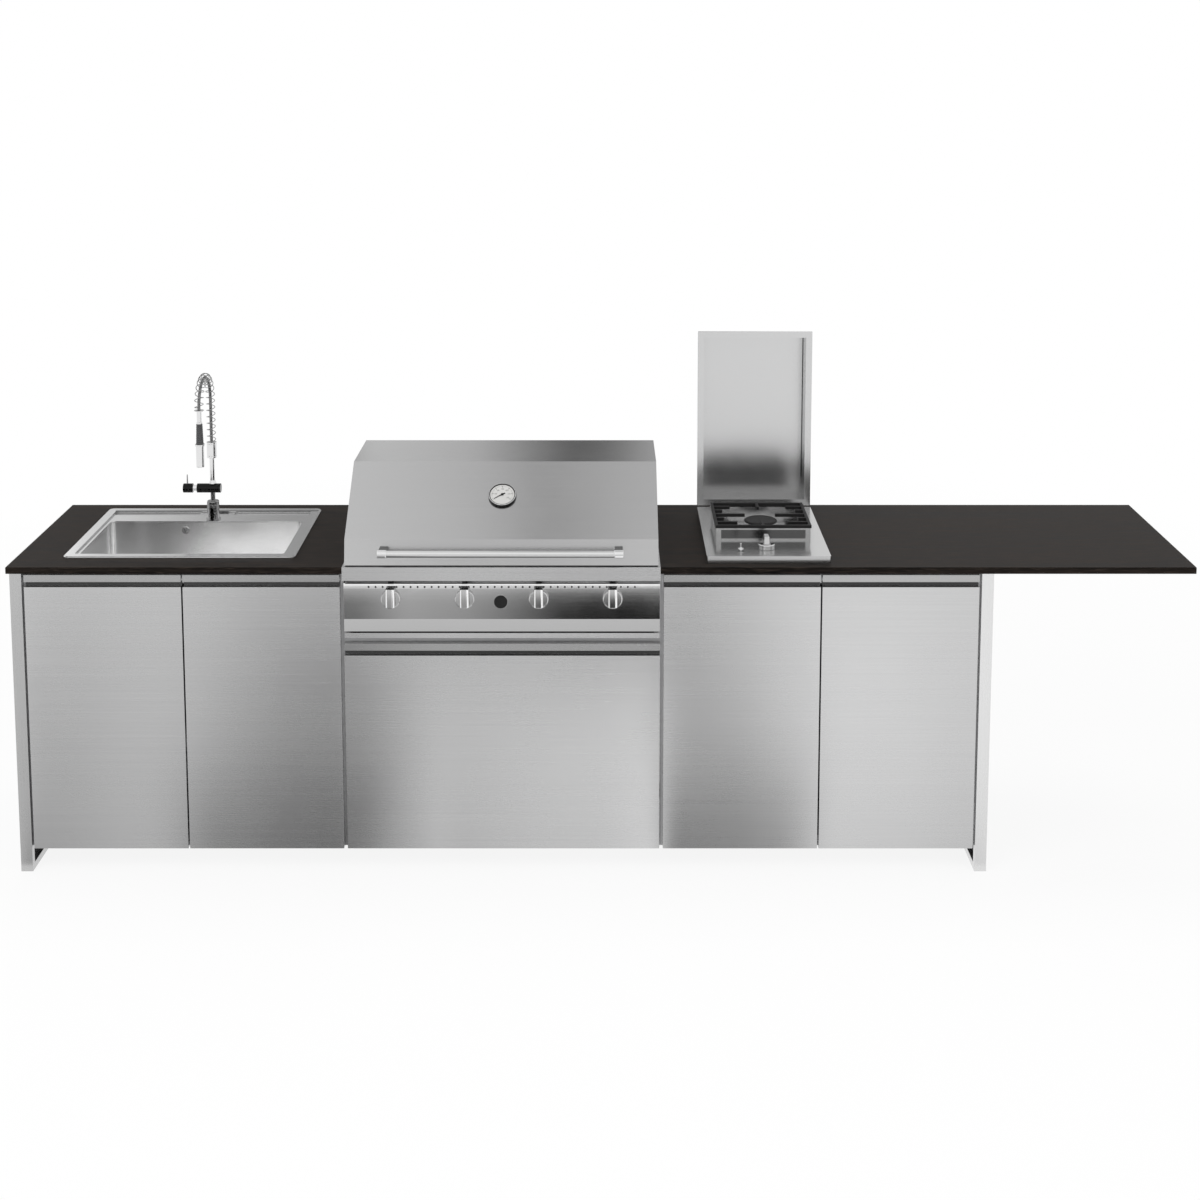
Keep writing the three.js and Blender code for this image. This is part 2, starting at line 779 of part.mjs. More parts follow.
// Firebox: rim and front fascia folded from one sheet round an open box that takes the burners.
function firebox() {
  const rim = cut(
    block(fasciaLeft, fasciaRight, 0, rimDepth, underTop, worktopHeight),
    block(fasciaLeft + sheet, fasciaRight - sheet, sheet, rimDepth - sheet, underTop - overrun, worktopHeight - sheet),
    block(fireboxLeft + sheet, fireboxRight - sheet, fireboxFront + sheet, fireboxBack - sheet,
      underTop - overrun, worktopHeight + overrun),
  );
  const fascia = block(fasciaLeft, fasciaRight, 0, sheet, worktopHeight - fasciaHeight, worktopHeight);
  const box = cut(
    block(fireboxLeft, fireboxRight, fireboxFront, fireboxBack, fireboxFloor, worktopHeight - sheet / 2),
    block(fireboxLeft + sheet, fireboxRight - sheet, fireboxFront + sheet, fireboxBack - sheet,
      fireboxFloor + sheet, worktopHeight + overrun),
    block(grillMiddle - greaseSlotWidth / 2, grillMiddle + greaseSlotWidth / 2,
      fireboxFront * 2, fireboxBack - fireboxFront, fireboxFloor - overrun, fireboxFloor + sheet + overrun),
  );
  const ledgeTop = grateTop - grateBar - clearance;
  const ledge = (y0, y1) => block(fireboxLeft, fireboxRight, y0, y1, ledgeTop - sheet, ledgeTop);
  const burnerSlots = [0, 1, 2, 3].map((index) => rod(
    at(knobX(index), fireboxFront - overrun, knobHeight),
    at(knobX(index), fireboxFront + sheet + overrun, knobHeight),
    burnerRadius + clearance,
  ));
  const lugInset = thinSheet + sheet + clearance * 2;
  const lugFoot = worktopHeight - sheet;
  const lugShape = outline([
    [hoodPivotY - hoodLugReach, lugFoot], [hoodPivotY - hoodLugNeck, lugFoot],
    [hoodPivotY - hoodLugNeck, hoodPivotZ - hoodLugHalf], [hoodPivotY + hoodLugHalf, hoodPivotZ - hoodLugHalf],
    [hoodPivotY + hoodLugHalf, hoodPivotZ + hoodLugHalf], [hoodPivotY - hoodLugReach, hoodPivotZ + hoodLugHalf],
  ]);
  const lug = (x) => cut(
    alongX(lugShape, x, x + hoodLugThickness),
    rod(at(x - overrun, hoodPivotY, hoodPivotZ), at(x + hoodLugThickness + overrun, hoodPivotY, hoodPivotZ),
      hoodPinRadius + clearance),
  );
  return cut(join(
    rim, fascia, box,
    ledge(fireboxFront, fireboxFront + sheet + grateLedge),
    ledge(fireboxBack - sheet - grateLedge, fireboxBack),
    lug(hoodLeft + lugInset),
    lug(hoodRight - lugInset - hoodLugThickness),
  ), burnerSlots);
}

// Control panel: folded sheet with a rolled top edge, a row of vents, knob holes and a blank badge.
function controlPanel() {
  const y0 = frontY;
  const yBack = frontY + frontThickness;
  const rollZ = panelTop - panelRoll;
  const rollY = y0 + panelRoll;
  const bandTop = panelBottom + lowerBand;
  const front = (skin) => {
    const shape = new THREE.Shape();
    shape.moveTo(yBack, panelBottom + skin);
    shape.lineTo(y0 + bandStep + skin, panelBottom + skin);
    shape.lineTo(y0 + bandStep + skin, bandTop + skin / 2);
    shape.lineTo(y0 + skin, bandTop + skin / 2);
    shape.lineTo(y0 + skin, rollZ);
    shape.absarc(rollY, rollZ, panelRoll - skin, Math.PI, Math.PI / 2, true);
    shape.lineTo(yBack, panelTop - skin);
    shape.closePath();
    return shape;
  };
  const body = alongX(front(0), panelLeft, panelRight);
  const hollow = alongX(front(sheet), panelLeft + sheet, panelRight - sheet);
  const backCut = block(panelLeft + sheet, panelRight - sheet, yBack - sheet, yBack + overrun,
    panelBottom + sheet, panelTop - sheet);
  const vents = Array.from({ length: ventCount }, (_, index) => {
    const x = grillMiddle + (index - (ventCount - 1) / 2) * ventPitch;
    return rod(at(x, y0 - overrun, ventHeight), at(x, y0 + sheet + overrun, ventHeight), ventRadius, smallFaces);
  });
  const shaftHoles = [0, 1, 2, 3].map((index) => rod(
    at(knobX(index), y0 - overrun, knobHeight), at(knobX(index), y0 + sheet + overrun, knobHeight), shaftHole,
  ));
  const badgeX = grillMiddle - badgeOffset;
  const badgeZ = knobHeight - badgeDrop;
  const badge = rod(at(badgeX, y0 - badgeRise, badgeZ), at(badgeX, y0 + sheet / 2, badgeZ), badgeRadius, fineFaces);
  return join(cut(body, hollow, backCut, vents, shaftHoles), badge);
}

// Knob: turned skirt, bar grip with round ends and a shaft back to its valve.
function grillKnob(index) {
  const x = knobX(index);
  const face = frontY - clearance;
  const skirtFront = face - knobSkirt;
  const skirt = turned([
    [0, 0], [knobRadius, 0], [knobRadius, knobSkirt - knobChamfer], [knobRadius - knobChamfer, knobSkirt], [0, knobSkirt],
  ], at(x, face, knobHeight), unitY.clone().negate());
  const halfWidth = gripWidth / 2;
  const grip = alongY(
    roundedOutline(x - halfWidth, x + halfWidth, knobHeight - gripLength / 2, knobHeight + gripLength / 2,
      halfWidth - knobChamfer),
    skirtFront - gripRise, skirtFront + knobChamfer,
  );
  const shaft = rod(at(x, face - knobSkirt / 2, knobHeight), at(x, valveFace - clearance, knobHeight), shaftRadius,
    coarseFaces);
  return join(skirt, grip, shaft);
}

// Manifold pipe with a valve in front for each knob and an orifice behind for each burner.
function gasManifold() {
  const first = knobX(0) - knobPitch / 4;
  const last = knobX(knobCount - 1) + knobPitch / 4;
  const pipe = rod(at(first, manifoldAxis, knobHeight), at(last, manifoldAxis, knobHeight), manifoldRadius);
  const parts = [0, 1, 2, 3].flatMap((index) => {
    const x = knobX(index);
    const orificeEnd = fireboxFront - burnerTailLength / 2 - clearance;
    return [
      rod(at(x, valveFace, knobHeight), at(x, manifoldAxis, knobHeight), valveRadius, coarseFaces),
      rod(at(x, manifoldAxis, knobHeight), at(x, orificeEnd, knobHeight), burnerTailRadius / 2, coarseFaces),
    ];
  });
  const bracket = (x) => block(x, x + sheet * 2, manifoldAxis, fireboxFront - clearance,
    knobHeight - manifoldRadius / 2, knobHeight + manifoldRadius / 2);
  return join(pipe, parts, bracket(first), bracket(last - sheet * 2));
}

// Burner: a tube through the firebox wall, with its air inlet in front and a closed rear end.
function burner(index) {
  const start = fireboxFront - burnerTailLength / 2;
  const wallFace = fireboxFront + sheet + clearance;
  const back = fireboxBack - sheet - clearance;
  const profile = [
    [0, 0], [burnerTailRadius, 0], [burnerRadius, burnerTailLength / 2], [burnerRadius, wallFace - start],
    [burnerFlangeRadius, wallFace - start], [burnerFlangeRadius, wallFace - start + burnerFlange],
    [burnerRadius, wallFace - start + burnerFlange], [burnerRadius, burnerBack - start],
    [burnerTailRadius / 2, burnerBack - start + burnerFlange], [burnerTailRadius / 2, back - start], [0, back - start],
  ];
  return turned(profile, at(knobX(index), start, knobHeight), unitY, midFaces);
}

// Cooking grate: a cast slab with a long slot between each pair of bars.
function cookingGrate(side) {
  const inner = [fireboxLeft + sheet + grateSideGap, fireboxRight - sheet - grateSideGap];
  const x0 = side === 0 ? inner[0] : grillMiddle + gap;
  const x1 = side === 0 ? grillMiddle - gap : inner[1];
  const y0 = fireboxFront + sheet + clearance;
  const y1 = fireboxBack - sheet - clearance;
  const bottom = grateTop - grateBar;
  const count = Math.floor((x1 - x0) / grateRodPitch);
  const step = (x1 - x0 - grateRodWidth) / count;
  const slots = Array.from({ length: count }, (_, index) => {
    const left = x0 + index * step + grateRodWidth;
    return block(left, left + step - grateRodWidth, y0 + grateLedge, y1 - grateLedge,
      bottom - overrun, grateTop + overrun);
  });
  return cut(block(x0, x1, y0, y1, bottom, grateTop), slots);
}

// Warming rack: wires between two side bars, on legs that stand on the rim.
function warmingRack() {
  const legX = hoodLeft + (fireboxLeft - hoodLeft) / 2 + rackWire / 2;
  const x0 = legX;
  const x1 = grillMiddle * 2 - legX;
  const z = rackHeight;
  const half = rackWire / 2;
  const bar = (a, b) => block(Math.min(a.x, b.x) - half, Math.max(a.x, b.x) + half,
    Math.min(a.y, b.y) - half, Math.max(a.y, b.y) + half, Math.min(a.z, b.z) - half, Math.max(a.z, b.z) + half);
  const foot = worktopHeight + clearance + half;
  const legs = [x0, x1].flatMap((x) => [rackFront, rackBack].map((y) => bar(at(x, y, foot), at(x, y, z))));
  const sides = [x0, x1].map((x) => bar(at(x, rackFront, z), at(x, rackBack, z)));
  const wires = Array.from({ length: rackWireCount }, (_, index) => {
    const y = rackFront + (rackBack - rackFront) * index / (rackWireCount - 1);
    return bar(at(x0, y, z), at(x1, y, z));
  });
  return join(legs, sides, wires);
}

// Drip tray: a wide front wall on a pan that passes between the cabinet's front flanges.
function dripTray() {
  const z0 = trayTop - trayHeight;
  const wall = frontY + trayFrontWall;
  return cut(
    join(
      block(fasciaLeft + trayInset, fasciaRight - trayInset, frontY, wall, z0, trayTop),
      block(drawerBoxLeft, drawerBoxRight, frontY, trayBack, z0, trayTop),
    ),
    block(drawerBoxLeft + sheet, drawerBoxRight - sheet, wall, trayBack - sheet, z0 + sheet, trayTop + overrun),
  );
}

// Hood outline in (y, z), drawn in by the given skin. The heel behind the pivot is cut off so that it
// swings clear of the rim.
function hoodOutline(skin, foot) {
  const shape = new THREE.Shape();
  shape.moveTo(hoodFrontY + skin, foot);
  shape.lineTo(hoodCreaseY + skin, hoodCreaseZ - skin / 2);
  shape.lineTo(hoodCrownY + skin / 4, hoodCrownZ - skin);
  shape.lineTo(hoodBackY - skin, hoodBackZ - skin);
  shape.lineTo(hoodRearY - skin, hoodRearZ);
  shape.lineTo(hoodRearY - skin, foot + (hoodHeelZ - hoodBottom));
  shape.lineTo(hoodHeelY - skin, foot);
  shape.closePath();
  return shape;
}

// Hood: a folded shell with end caps, open below, and a pivot pin inside each cap.
function hood() {
  const shell = cut(
    alongX(hoodOutline(0, hoodBottom), hoodLeft, hoodRight),
    alongX(hoodOutline(sheet, hoodBottom - hoodPinRadius * 2), hoodLeft + sheet, hoodRight - sheet),
  );
  const pinEnd = thinSheet + sheet + clearance * 2 + hoodLugThickness;
  const pin = (a, b) => rod(at(a, hoodPivotY, hoodPivotZ), at(b, hoodPivotY, hoodPivotZ), hoodPinRadius, coarseFaces);
  const hole = gaugeFrame();
  const stemHole = rod(hole.centre.clone().addScaledVector(hole.normal, -sheet * 3),
    hole.centre.clone().addScaledVector(hole.normal, overrun), gaugeStemRadius + clearance);
  return cut(join(
    shell,
    pin(hoodLeft + sheet / 2, hoodLeft + pinEnd),
    pin(hoodRight - pinEnd, hoodRight - sheet / 2),
  ), stemHole);
}

// Where the thermometer stands on the sloping part of the hood.
function gaugeFrame() {
  const slope = new THREE.Vector3(0, hoodCrownY - hoodCreaseY, hoodCrownZ - hoodCreaseZ).normalize();
  const share = (gaugeY - hoodCreaseY) / (hoodCrownY - hoodCreaseY);
  const centre = at(grillMiddle, gaugeY, hoodCreaseZ + share * (hoodCrownZ - hoodCreaseZ));
  return { centre, normal: at(0, -slope.z, slope.y), slope };
}

function thermometerCase() {
  const { centre, normal } = gaugeFrame();
  const inner = gaugeDepth - dialRecess;
  const seatRadius = dialRadius + clearance;
  const profile = [
    [0, -sheet * 4], [gaugeStemRadius, -sheet * 4], [gaugeStemRadius, clearance],
    [gaugeRadius - sheet * 2, clearance], [gaugeRadius, sheet], [gaugeRadius, gaugeDepth - sheet],
    [gaugeRadius - sheet, gaugeDepth], [seatRadius, gaugeDepth], [seatRadius, inner], [0, inner],
  ];
  return turned(profile, centre, normal, fineFaces);
}

function thermometerDial() {
  const { centre, normal } = gaugeFrame();
  const low = gaugeDepth - dialRecess + clearance;
  return turned([
    [0, low], [dialRadius, low], [dialRadius, low + dialThickness], [0, low + dialThickness],
  ], centre, normal, fineFaces);
}

function thermometerNeedle() {
  const { centre, normal, slope } = gaugeFrame();
  const low = gaugeDepth - dialRecess + clearance * 2 + dialThickness;
  const hub = turned([
    [0, low], [needleHubRadius, low], [needleHubRadius, low + needleThickness * 2], [0, low + needleThickness * 2],
  ], centre, normal, coarseFaces);
  const pointer = new THREE.ExtrudeGeometry(outline([
    [-needleTail, -needleWidth / 2], [0, -needleWidth / 2], [needleLength, 0], [0, needleWidth / 2],
    [-needleTail, needleWidth / 2],
  ]), { depth: needleThickness, bevelEnabled: false });
  pointer.rotateZ(THREE.MathUtils.degToRad(needleAngle));
  pointer.translate(0, 0, low + clearance);
  pointer.applyMatrix4(new THREE.Matrix4().makeBasis(unitX, slope, normal));
  return join(hub, toSolid(pointer.translate(centre.x, centre.y, centre.z)));
}

// Handle: a bar whose ends sit in collars on standoffs from the hood's front band.
function handleBar() {
  const inset = collarWall + clearance;
  return rod(at(grillMiddle - handleLength / 2 + inset, handleY, handleZ),
    at(grillMiddle + handleLength / 2 - inset, handleY, handleZ), handleRadius, fineFaces);
}

function handleBracket(side) {
  const outer = grillMiddle + side * handleLength / 2;
  const inner = outer - side * collarLength;
  const bore = rod(at(outer - side * collarWall, handleY, handleZ), at(inner - side * overrun, handleY, handleZ),
    handleRadius + clearance, fineFaces);
  const collar = rod(at(outer, handleY, handleZ), at(inner, handleY, handleZ), collarRadius, fineFaces);
  const standoff = block(Math.min(outer, inner), Math.max(outer, inner), handleY, hoodCreaseY * 2,
    handleZ - standoffHeight / 2, handleZ + standoffHeight / 2);
  const hoodSpace = alongX(hoodOutline(-clearance, hoodBottom - overrun), hoodLeft - overrun, hoodRight + overrun);
  return cut(join(collar, cut(standoff, hoodSpace)), bore);
}

// Sink: raised rim, flat tap ledge with a shallow channel behind it, and a deep round-cornered bowl.
function sinkBowl() {
  const x1 = sinkX + sinkWidth;
  const y1 = sinkY + sinkDepth;
  const seatZ = worktopHeight + clearance;
  const rimTop = worktopHeight + sinkRimRise;
  const under = seatZ - sinkSeatDrop;
  const seat = sinkSeat + clearance;
  const bowlX0 = sinkX + bowlLeft;
  const bowlX1 = bowlX0 + bowlWidth;
  const bowlY0 = sinkY + bowlFront;
  const ease = sinkRimRise / 3;
  const rim = join(
    alongZ(roundedOutline(sinkX, x1, sinkY, y1, sinkCorner), seatZ, rimTop - ease),
    alongZ(roundedOutline(sinkX + ease, x1 - ease, sinkY + ease, y1 - ease, sinkCorner - ease), seatZ, rimTop),
    alongZ(roundedOutline(sinkX + seat, x1 - seat, sinkY + seat, y1 - seat, sinkCorner - seat), under, seatZ + ease),
  );
  const pot = alongZ(roundedOutline(bowlX0 - sheet, bowlX1 + sheet, bowlY0 - sheet, sinkBowlBack + sheet,
    bowlCorner + sheet), bowlFloor - sheet, seatZ);
  const inside = alongZ(roundedOutline(bowlX0, bowlX1, bowlY0, sinkBowlBack, bowlCorner), bowlFloor, rimTop + overrun);
  const recess = alongZ(roundedOutline(sinkX + sinkRimWidth, x1 - sinkRimWidth, sinkY + sinkRimWidth, y1 - sinkRearRim,
    sinkCorner / 2), ledgeZ, rimTop + overrun);
  const bandY1 = y1 - sinkRearRim;
  const bandY0 = bandY1 - bandDepth;
  const tapHalf = tapFlangeRadius * 2.4;
  const band = (a, b) => block(a, b, bandY0, bandY1, ledgeZ - bandDrop, rimTop);
  return cut(
    join(rim, pot), inside, recess,
    band(sinkX + sinkRimWidth, tapX - tapHalf),
    band(tapX + tapHalf, x1 - sinkRimWidth),
    rod(at(tapX, tapY, under - overrun), at(tapX, tapY, rimTop), tapStemRadius + clearance, fineFaces),
    rod(at((bowlX0 + bowlX1) / 2, (bowlY0 + sinkBowlBack) / 2, bowlFloor - sheet - overrun),
      at((bowlX0 + bowlX1) / 2, (bowlY0 + sinkBowlBack) / 2, bowlFloor + overrun), drainRadius, fineFaces),
    rod(at(overflowX, sinkBowlBack - overrun, overflowZ), at(overflowX, sinkBowlBack + sheet + overrun, overflowZ),
      overflowNeck + clearance, fineFaces),
  );
}

function drainPlace() {
  return [sinkX + bowlLeft + bowlWidth / 2, sinkY + bowlFront + bowlLength / 2];
}

function sinkStrainer() {
  const [x, y] = drainPlace();
  const cupRadius = drainRadius - clearance;
  const base = bowlFloor + clearance;
  const low = bowlFloor - strainerDepth;
  const cup = turned([
    [0, low], [cupRadius - strainerWall * 4, low], [cupRadius, low + strainerDepth / 3], [cupRadius, base],
    [strainerFlange, base], [strainerFlange, base + strainerWall], [cupRadius - strainerWall, base + strainerWall],
    [cupRadius - strainerWall, low + strainerDepth / 3 + strainerWall], [cupRadius - strainerWall * 5, low + strainerWall],
    [0, low + strainerWall],
  ], at(x, y, 0));
  const holes = Array.from({ length: strainerHoleCount }, (_, index) => {
    const angle = Math.PI * 2 * index / strainerHoleCount;
    const px = x + Math.cos(angle) * drainRadius / 2;
    const py = y + Math.sin(angle) * drainRadius / 2;
    return rod(at(px, py, low - overrun), at(px, py, low + strainerWall + overrun), strainerHoleRadius, smallFaces);
  });
  return cut(cup, holes);
}

// Waste: inlet nut under the strainer, bottle trap and an outlet towards the back.
function wasteTrap() {
  const [x, y] = drainPlace();
  const top = bowlFloor - strainerDepth - clearance;
  const shoulder = top - trapPipeLength;
  const bottom = shoulder - trapHeight;
  const bottle = turned([
    [0, bottom], [trapRadius * 0.75, bottom], [trapRadius, bottom + trapRadius / 3], [trapRadius, shoulder - trapRadius / 3],
    [trapPipeRadius, shoulder], [trapPipeRadius, top - trapRadius / 2], [trapRadius, top - trapRadius / 2],
    [trapRadius, top], [0, top],
  ], at(x, y, 0));
  const outletZ = shoulder - trapRadius;
  return join(bottle, rod(at(x, y, outletZ), at(x, y + trapOutletLength, outletZ), trapPipeRadius * 0.8));
}

function overflowCover() {
  const face = sinkBowlBack - clearance;
  const disc = turned([
    [0, -overflowCap], [overflowRadius - 1 * clearance, -overflowCap], [overflowRadius, -overflowCap / 2],
    [overflowRadius, 0], [overflowNeck, 0], [overflowNeck, sheet * 3], [0, sheet * 3],
  ], at(overflowX, face, overflowZ), unitY);
  const holes = [0, 1, 2].map((index) => {
    const angle = Math.PI * (0.5 + index * 2 / 3);
    const px = overflowX + Math.cos(angle) * overflowNeck / 2;
    const pz = overflowZ - Math.sin(angle) * overflowNeck / 2;
    return rod(at(px, face - overflowCap - overrun, pz), at(px, face + sheet * 3 + overrun, pz), overflowNeck / 4, smallFaces);
  });
  return cut(disc, holes);
}

// Tap body: base and neck on the ledge, with a cross bar that holds the mixer cartridge.
function tapBody() {
  const base = ledgeZ + clearance;
  const under = worktopHeight - sinkSeatDrop;
  const column = turned([
    [0, under - tapStemDrop], [tapStemRadius, under - tapStemDrop],
    [tapStemRadius, under - tapNutHeight], [tapNutRadius, under - tapNutHeight], [tapNutRadius, under],
    [tapStemRadius, under], [tapStemRadius, base], [tapFlangeRadius, base], [tapFlangeRadius, base + tapFlange],
    [tapBaseRadius, base + tapFlange], [tapBaseRadius, tapBaseTop - tapFlange / 2],
    [tapBaseRadius - tapFlange / 2, tapBaseTop], [tapNeckRadius, tapBaseTop], [tapNeckRadius, tapBarZ], [0, tapBarZ],
  ], at(tapX, tapY, 0));
  const bar = rod(at(tapX - tapBarLeft, tapY, tapBarZ), at(tapX + tapBarRight, tapY, tapBarZ), tapBarRadius, fineFaces);
  const ring = rod(at(tapX - tapBarLeft - tapRingLength + clearance, tapY, tapBarZ),
    at(tapX - tapBarLeft + overrun, tapY, tapBarZ), tapRingRadius, midFaces);
  return join(column, bar, ring);
}

function tapLever() {
  const x1 = tapX - tapBarLeft - tapRingLength;
  const x0 = x1 - leverLength;
  const drum = rod(at(x0, tapY, tapBarZ), at(x1, tapY, tapBarZ), tapBarRadius, fineFaces);
  const pinX = x0 + leverPinInset;
  const pin = rod(at(pinX, tapY, tapBarZ), at(pinX, tapY, tapBarZ + tapBarRadius + leverPinRise), leverPinRadius,
    coarseFaces, leverPinTip);
  return join(drum, pin);
}

function tapRiser() {
  const base = tapBarZ + tapBarRadius + clearance;
  return turned([
    [0, base], [riserFlare, base], [riserRadius, base + riserFlare], [riserRadius, sleeveBottom],
    [sleeveRadius, sleeveBottom], [sleeveRadius, sleeveTop], [0, sleeveTop],
  ], at(tapX, tapY, 0));
}

// Centre line of the spout: up from the sleeve, over a half circle towards the bowl and down.
class SpoutCurve extends THREE.Curve {
  constructor(drop) {
    super();
    this.rise = archLevel - sleeveTop - clearance;
    this.arc = Math.PI * archRadius;
    this.drop = drop;
  }

  length() {
    return this.rise + this.arc + this.drop;
  }

  getPoint(share, target = new THREE.Vector3()) {
    const along = share * this.length();
    const { point } = this.frame(along);
    return target.copy(point);
  }

  frame(along) {
    const start = sleeveTop + clearance;
    if (along <= this.rise) {
      return { point: at(tapX, tapY, start + along), side: at(0, -1, 0) };
    }
    if (along <= this.rise + this.arc) {
      const angle = (along - this.rise) / archRadius;
      const centreY = tapY - archRadius;
      return {
        point: at(tapX, centreY + archRadius * Math.cos(angle), archLevel + archRadius * Math.sin(angle)),
        side: at(0, -Math.cos(angle), -Math.sin(angle)),
      };
    }
    const down = along - this.rise - this.arc;
    return { point: at(tapX, tapY - 2 * archRadius, archLevel - down), side: at(0, 1, 0) };
  }
}

// A closed tube of flat faces through a list of points.
function wireTube(points, radius, sides) {
  const positions = [];
  const indices = [];
  let normal = at(1, 0, 0);
  points.forEach((point, i) => {
    const before = points[Math.max(i - 1, 0)];
    const after = points[Math.min(i + 1, points.length - 1)];
    const tangent = after.clone().sub(before).normalize();
    normal = normal.clone().addScaledVector(tangent, -normal.dot(tangent)).normalize();
    const other = tangent.clone().cross(normal);
    for (let k = 0; k < sides; k += 1) {
      const angle = 2 * Math.PI * k / sides;
      const corner = point.clone().addScaledVector(normal, radius * Math.cos(angle))
        .addScaledVector(other, radius * Math.sin(angle));
      positions.push(corner.x, corner.y, corner.z);
    }
  });
  const rings = points.length;
  for (let i = 0; i < rings - 1; i += 1) {
    for (let k = 0; k < sides; k += 1) {
      const next = (k + 1) % sides;
      const [a, b, c, d] = [i * sides + k, i * sides + next, (i + 1) * sides + next, (i + 1) * sides + k];
      indices.push(a, b, c, a, c, d);
    }
  }
  for (let k = 1; k < sides - 1; k += 1) {
    indices.push(0, k + 1, k);
    const last = (rings - 1) * sides;
    indices.push(last, last + k, last + k + 1);
  }
  const geometry = new THREE.BufferGeometry();
  geometry.setAttribute('position', new THREE.Float32BufferAttribute(positions, 3));
  geometry.setIndex(indices);
  return geometry;
}

// Centre line of the spring's wire: straight out of its seat, round and round the spout, straight in.
function springPoints() {
  const path = new SpoutCurve(springFrontDrop);
  const total = path.length();
  const lead = springWire;
  const turns = Math.round((total - 2 * lead) / springPitch);
  const steps = turns * springSteps;
  const points = [];
  const place = (along, angle) => {
    const { point, side } = path.frame(along);
    return point.clone().addScaledVector(side, springRadius * Math.cos(angle))
      .addScaledVector(unitX, springRadius * Math.sin(angle));
  };
  points.push(place(0, 0));
  for (let i = 0; i <= steps; i += 1) {
    points.push(place(lead + (total - 2 * lead) * i / steps, 2 * Math.PI * turns * i / steps));
  }
  points.push(place(total, 2 * Math.PI * turns));
  return points;
}

// Least gap between turns: centre lines a full turn apart, less one wire thickness.
function leastSpringGap(points) {
  let least = Infinity;
  for (let i = 0; i < points.length; i += 1) {
    for (let j = i + Math.floor(springSteps / 2) + 1; j < points.length; j += 1) {
      least = Math.min(least, points[i].distanceTo(points[j]));
    }
  }
  return least - springWire;
}

function tapSpring() {
  const points = springPoints();
  console.log(`least gap between spring turns ${leastSpringGap(points).toFixed(2)} mm`);
  return toSolid(wireTube(points, springWire / 2, springSides));
}

function tapHose() {
  const section = new THREE.Shape();
  section.absarc(0, 0, hoseRadius, 0, 2 * Math.PI, false);
  const path = new SpoutCurve(springFrontDrop);
  const geometry = new THREE.ExtrudeGeometry(section, {
    steps: Math.ceil(path.length() / (hoseRadius * 3)), extrudePath: path, bevelEnabled: false, curveSegments: arcSteps * 2,
  });
  return toSolid(geometry);
}

// Spray handle: ferrule with a seat for the spring, grip, ring and head with a hollow nozzle.
function sprayHandle() {
  const top = archLevel - springFrontDrop - clearance;
  const ferruleEnd = top - ferruleLength;
  const gripEnd = ferruleEnd - sprayGripLength;
  const ringEnd = gripEnd - sprayRing;
  const headEnd = ringEnd - sprayHeadLength;
  const ease = sprayRing / 4;
  return turned([
    [0, headEnd + sprayNozzleDepth], [sprayHeadRadius - ease * 2, headEnd + sprayNozzleDepth],
    [sprayHeadRadius - ease * 2, headEnd], [sprayHeadRadius - ease, headEnd],
    [sprayHeadRadius, headEnd + ease], [sprayHeadRadius, ringEnd], [sprayRingRadius, ringEnd],
    [sprayRingRadius, gripEnd], [sprayGripRadius, gripEnd], [sprayGripTopRadius, ferruleEnd],
    [ferruleRadius, ferruleEnd], [ferruleRadius, top - springSeat], [springSeatRadius, top - springSeat],
    [springSeatRadius, top], [0, top],
  ], at(tapX, tapY - 2 * archRadius, 0));
}

// Hob: a shallow folded tray with the burner housing raised on it and hinge knuckles behind.
function hobPlate() {
  const x1 = hobX + hobWidth;
  const y1 = hobY + hobDepth;
  const base = worktopHeight + clearance;
  const tray = cut(
    alongZ(roundedOutline(hobX, x1, hobY, y1, hobCorner), base, hobTop),
    alongZ(roundedOutline(hobX + sheet, x1 - sheet, hobY + sheet, y1 - sheet, hobCorner - sheet / 2),
      base - overrun, hobTop - sheet),
  );
  const boxX0 = hobX + burnerBoxX;
  const boxX1 = boxX0 + burnerBoxWidth;
  const boxY0 = hobY + burnerBoxY;
  const boxY1 = boxY0 + burnerBoxDepth;
  const wall = burnerBoxWall;
  const wellFloor = burnerBoxTop - burnerWellDepth;
  const housing = cut(
    block(boxX0, boxX1, boxY0, boxY1, hobTop - sheet / 2, burnerBoxTop),
    block(boxX0 + wall, boxX1 - wall, boxY0 + wall, boxY1 - wall, wellFloor, burnerBoxTop + overrun),
    block(boxX0 + wall, boxX1 - wall, boxY0 - overrun, boxY0 + frontWindowDepth,
      hobTop + frontWindowDrop, burnerBoxTop - frontWindowDrop),
  );
  const knobHole = rod(at(hobKnobX, hobKnobY, base), at(hobKnobX, hobKnobY, hobTop + overrun),
    hobShaftRadius + clearance, coarseFaces);
  const buttonHole = rod(at(buttonX, buttonY, base), at(buttonX, buttonY, hobTop + overrun),
    buttonRadius + clearance, coarseFaces);
  const tongue = block(hobX + knuckleInset, x1 - knuckleInset, y1 - sheet, hingeY - hingePinRadius - clearance,
    hingeZ - hingeRadius, hingeZ);
  const barrel = rod(at(hobX + knuckleInset, hingeY, hingeZ), at(x1 - knuckleInset, hingeY, hingeZ), hingeRadius,
    coarseFaces);
  const lidSpace = lidKnuckles().map(([a, b]) => block(a - clearance, b + clearance,
    y1 - sheet / 2 + clearance, hingeY + hingeRadius * 2, hingeZ - hingeRadius * 2, hingeZ + hingeRadius * 2));
  const pinBore = rod(at(hobX, hingeY, hingeZ), at(x1, hingeY, hingeZ), hingePinRadius + clearance, coarseFaces);
  return cut(join(tray, housing, tongue, barrel), knobHole, buttonHole, lidSpace, pinBore);
}

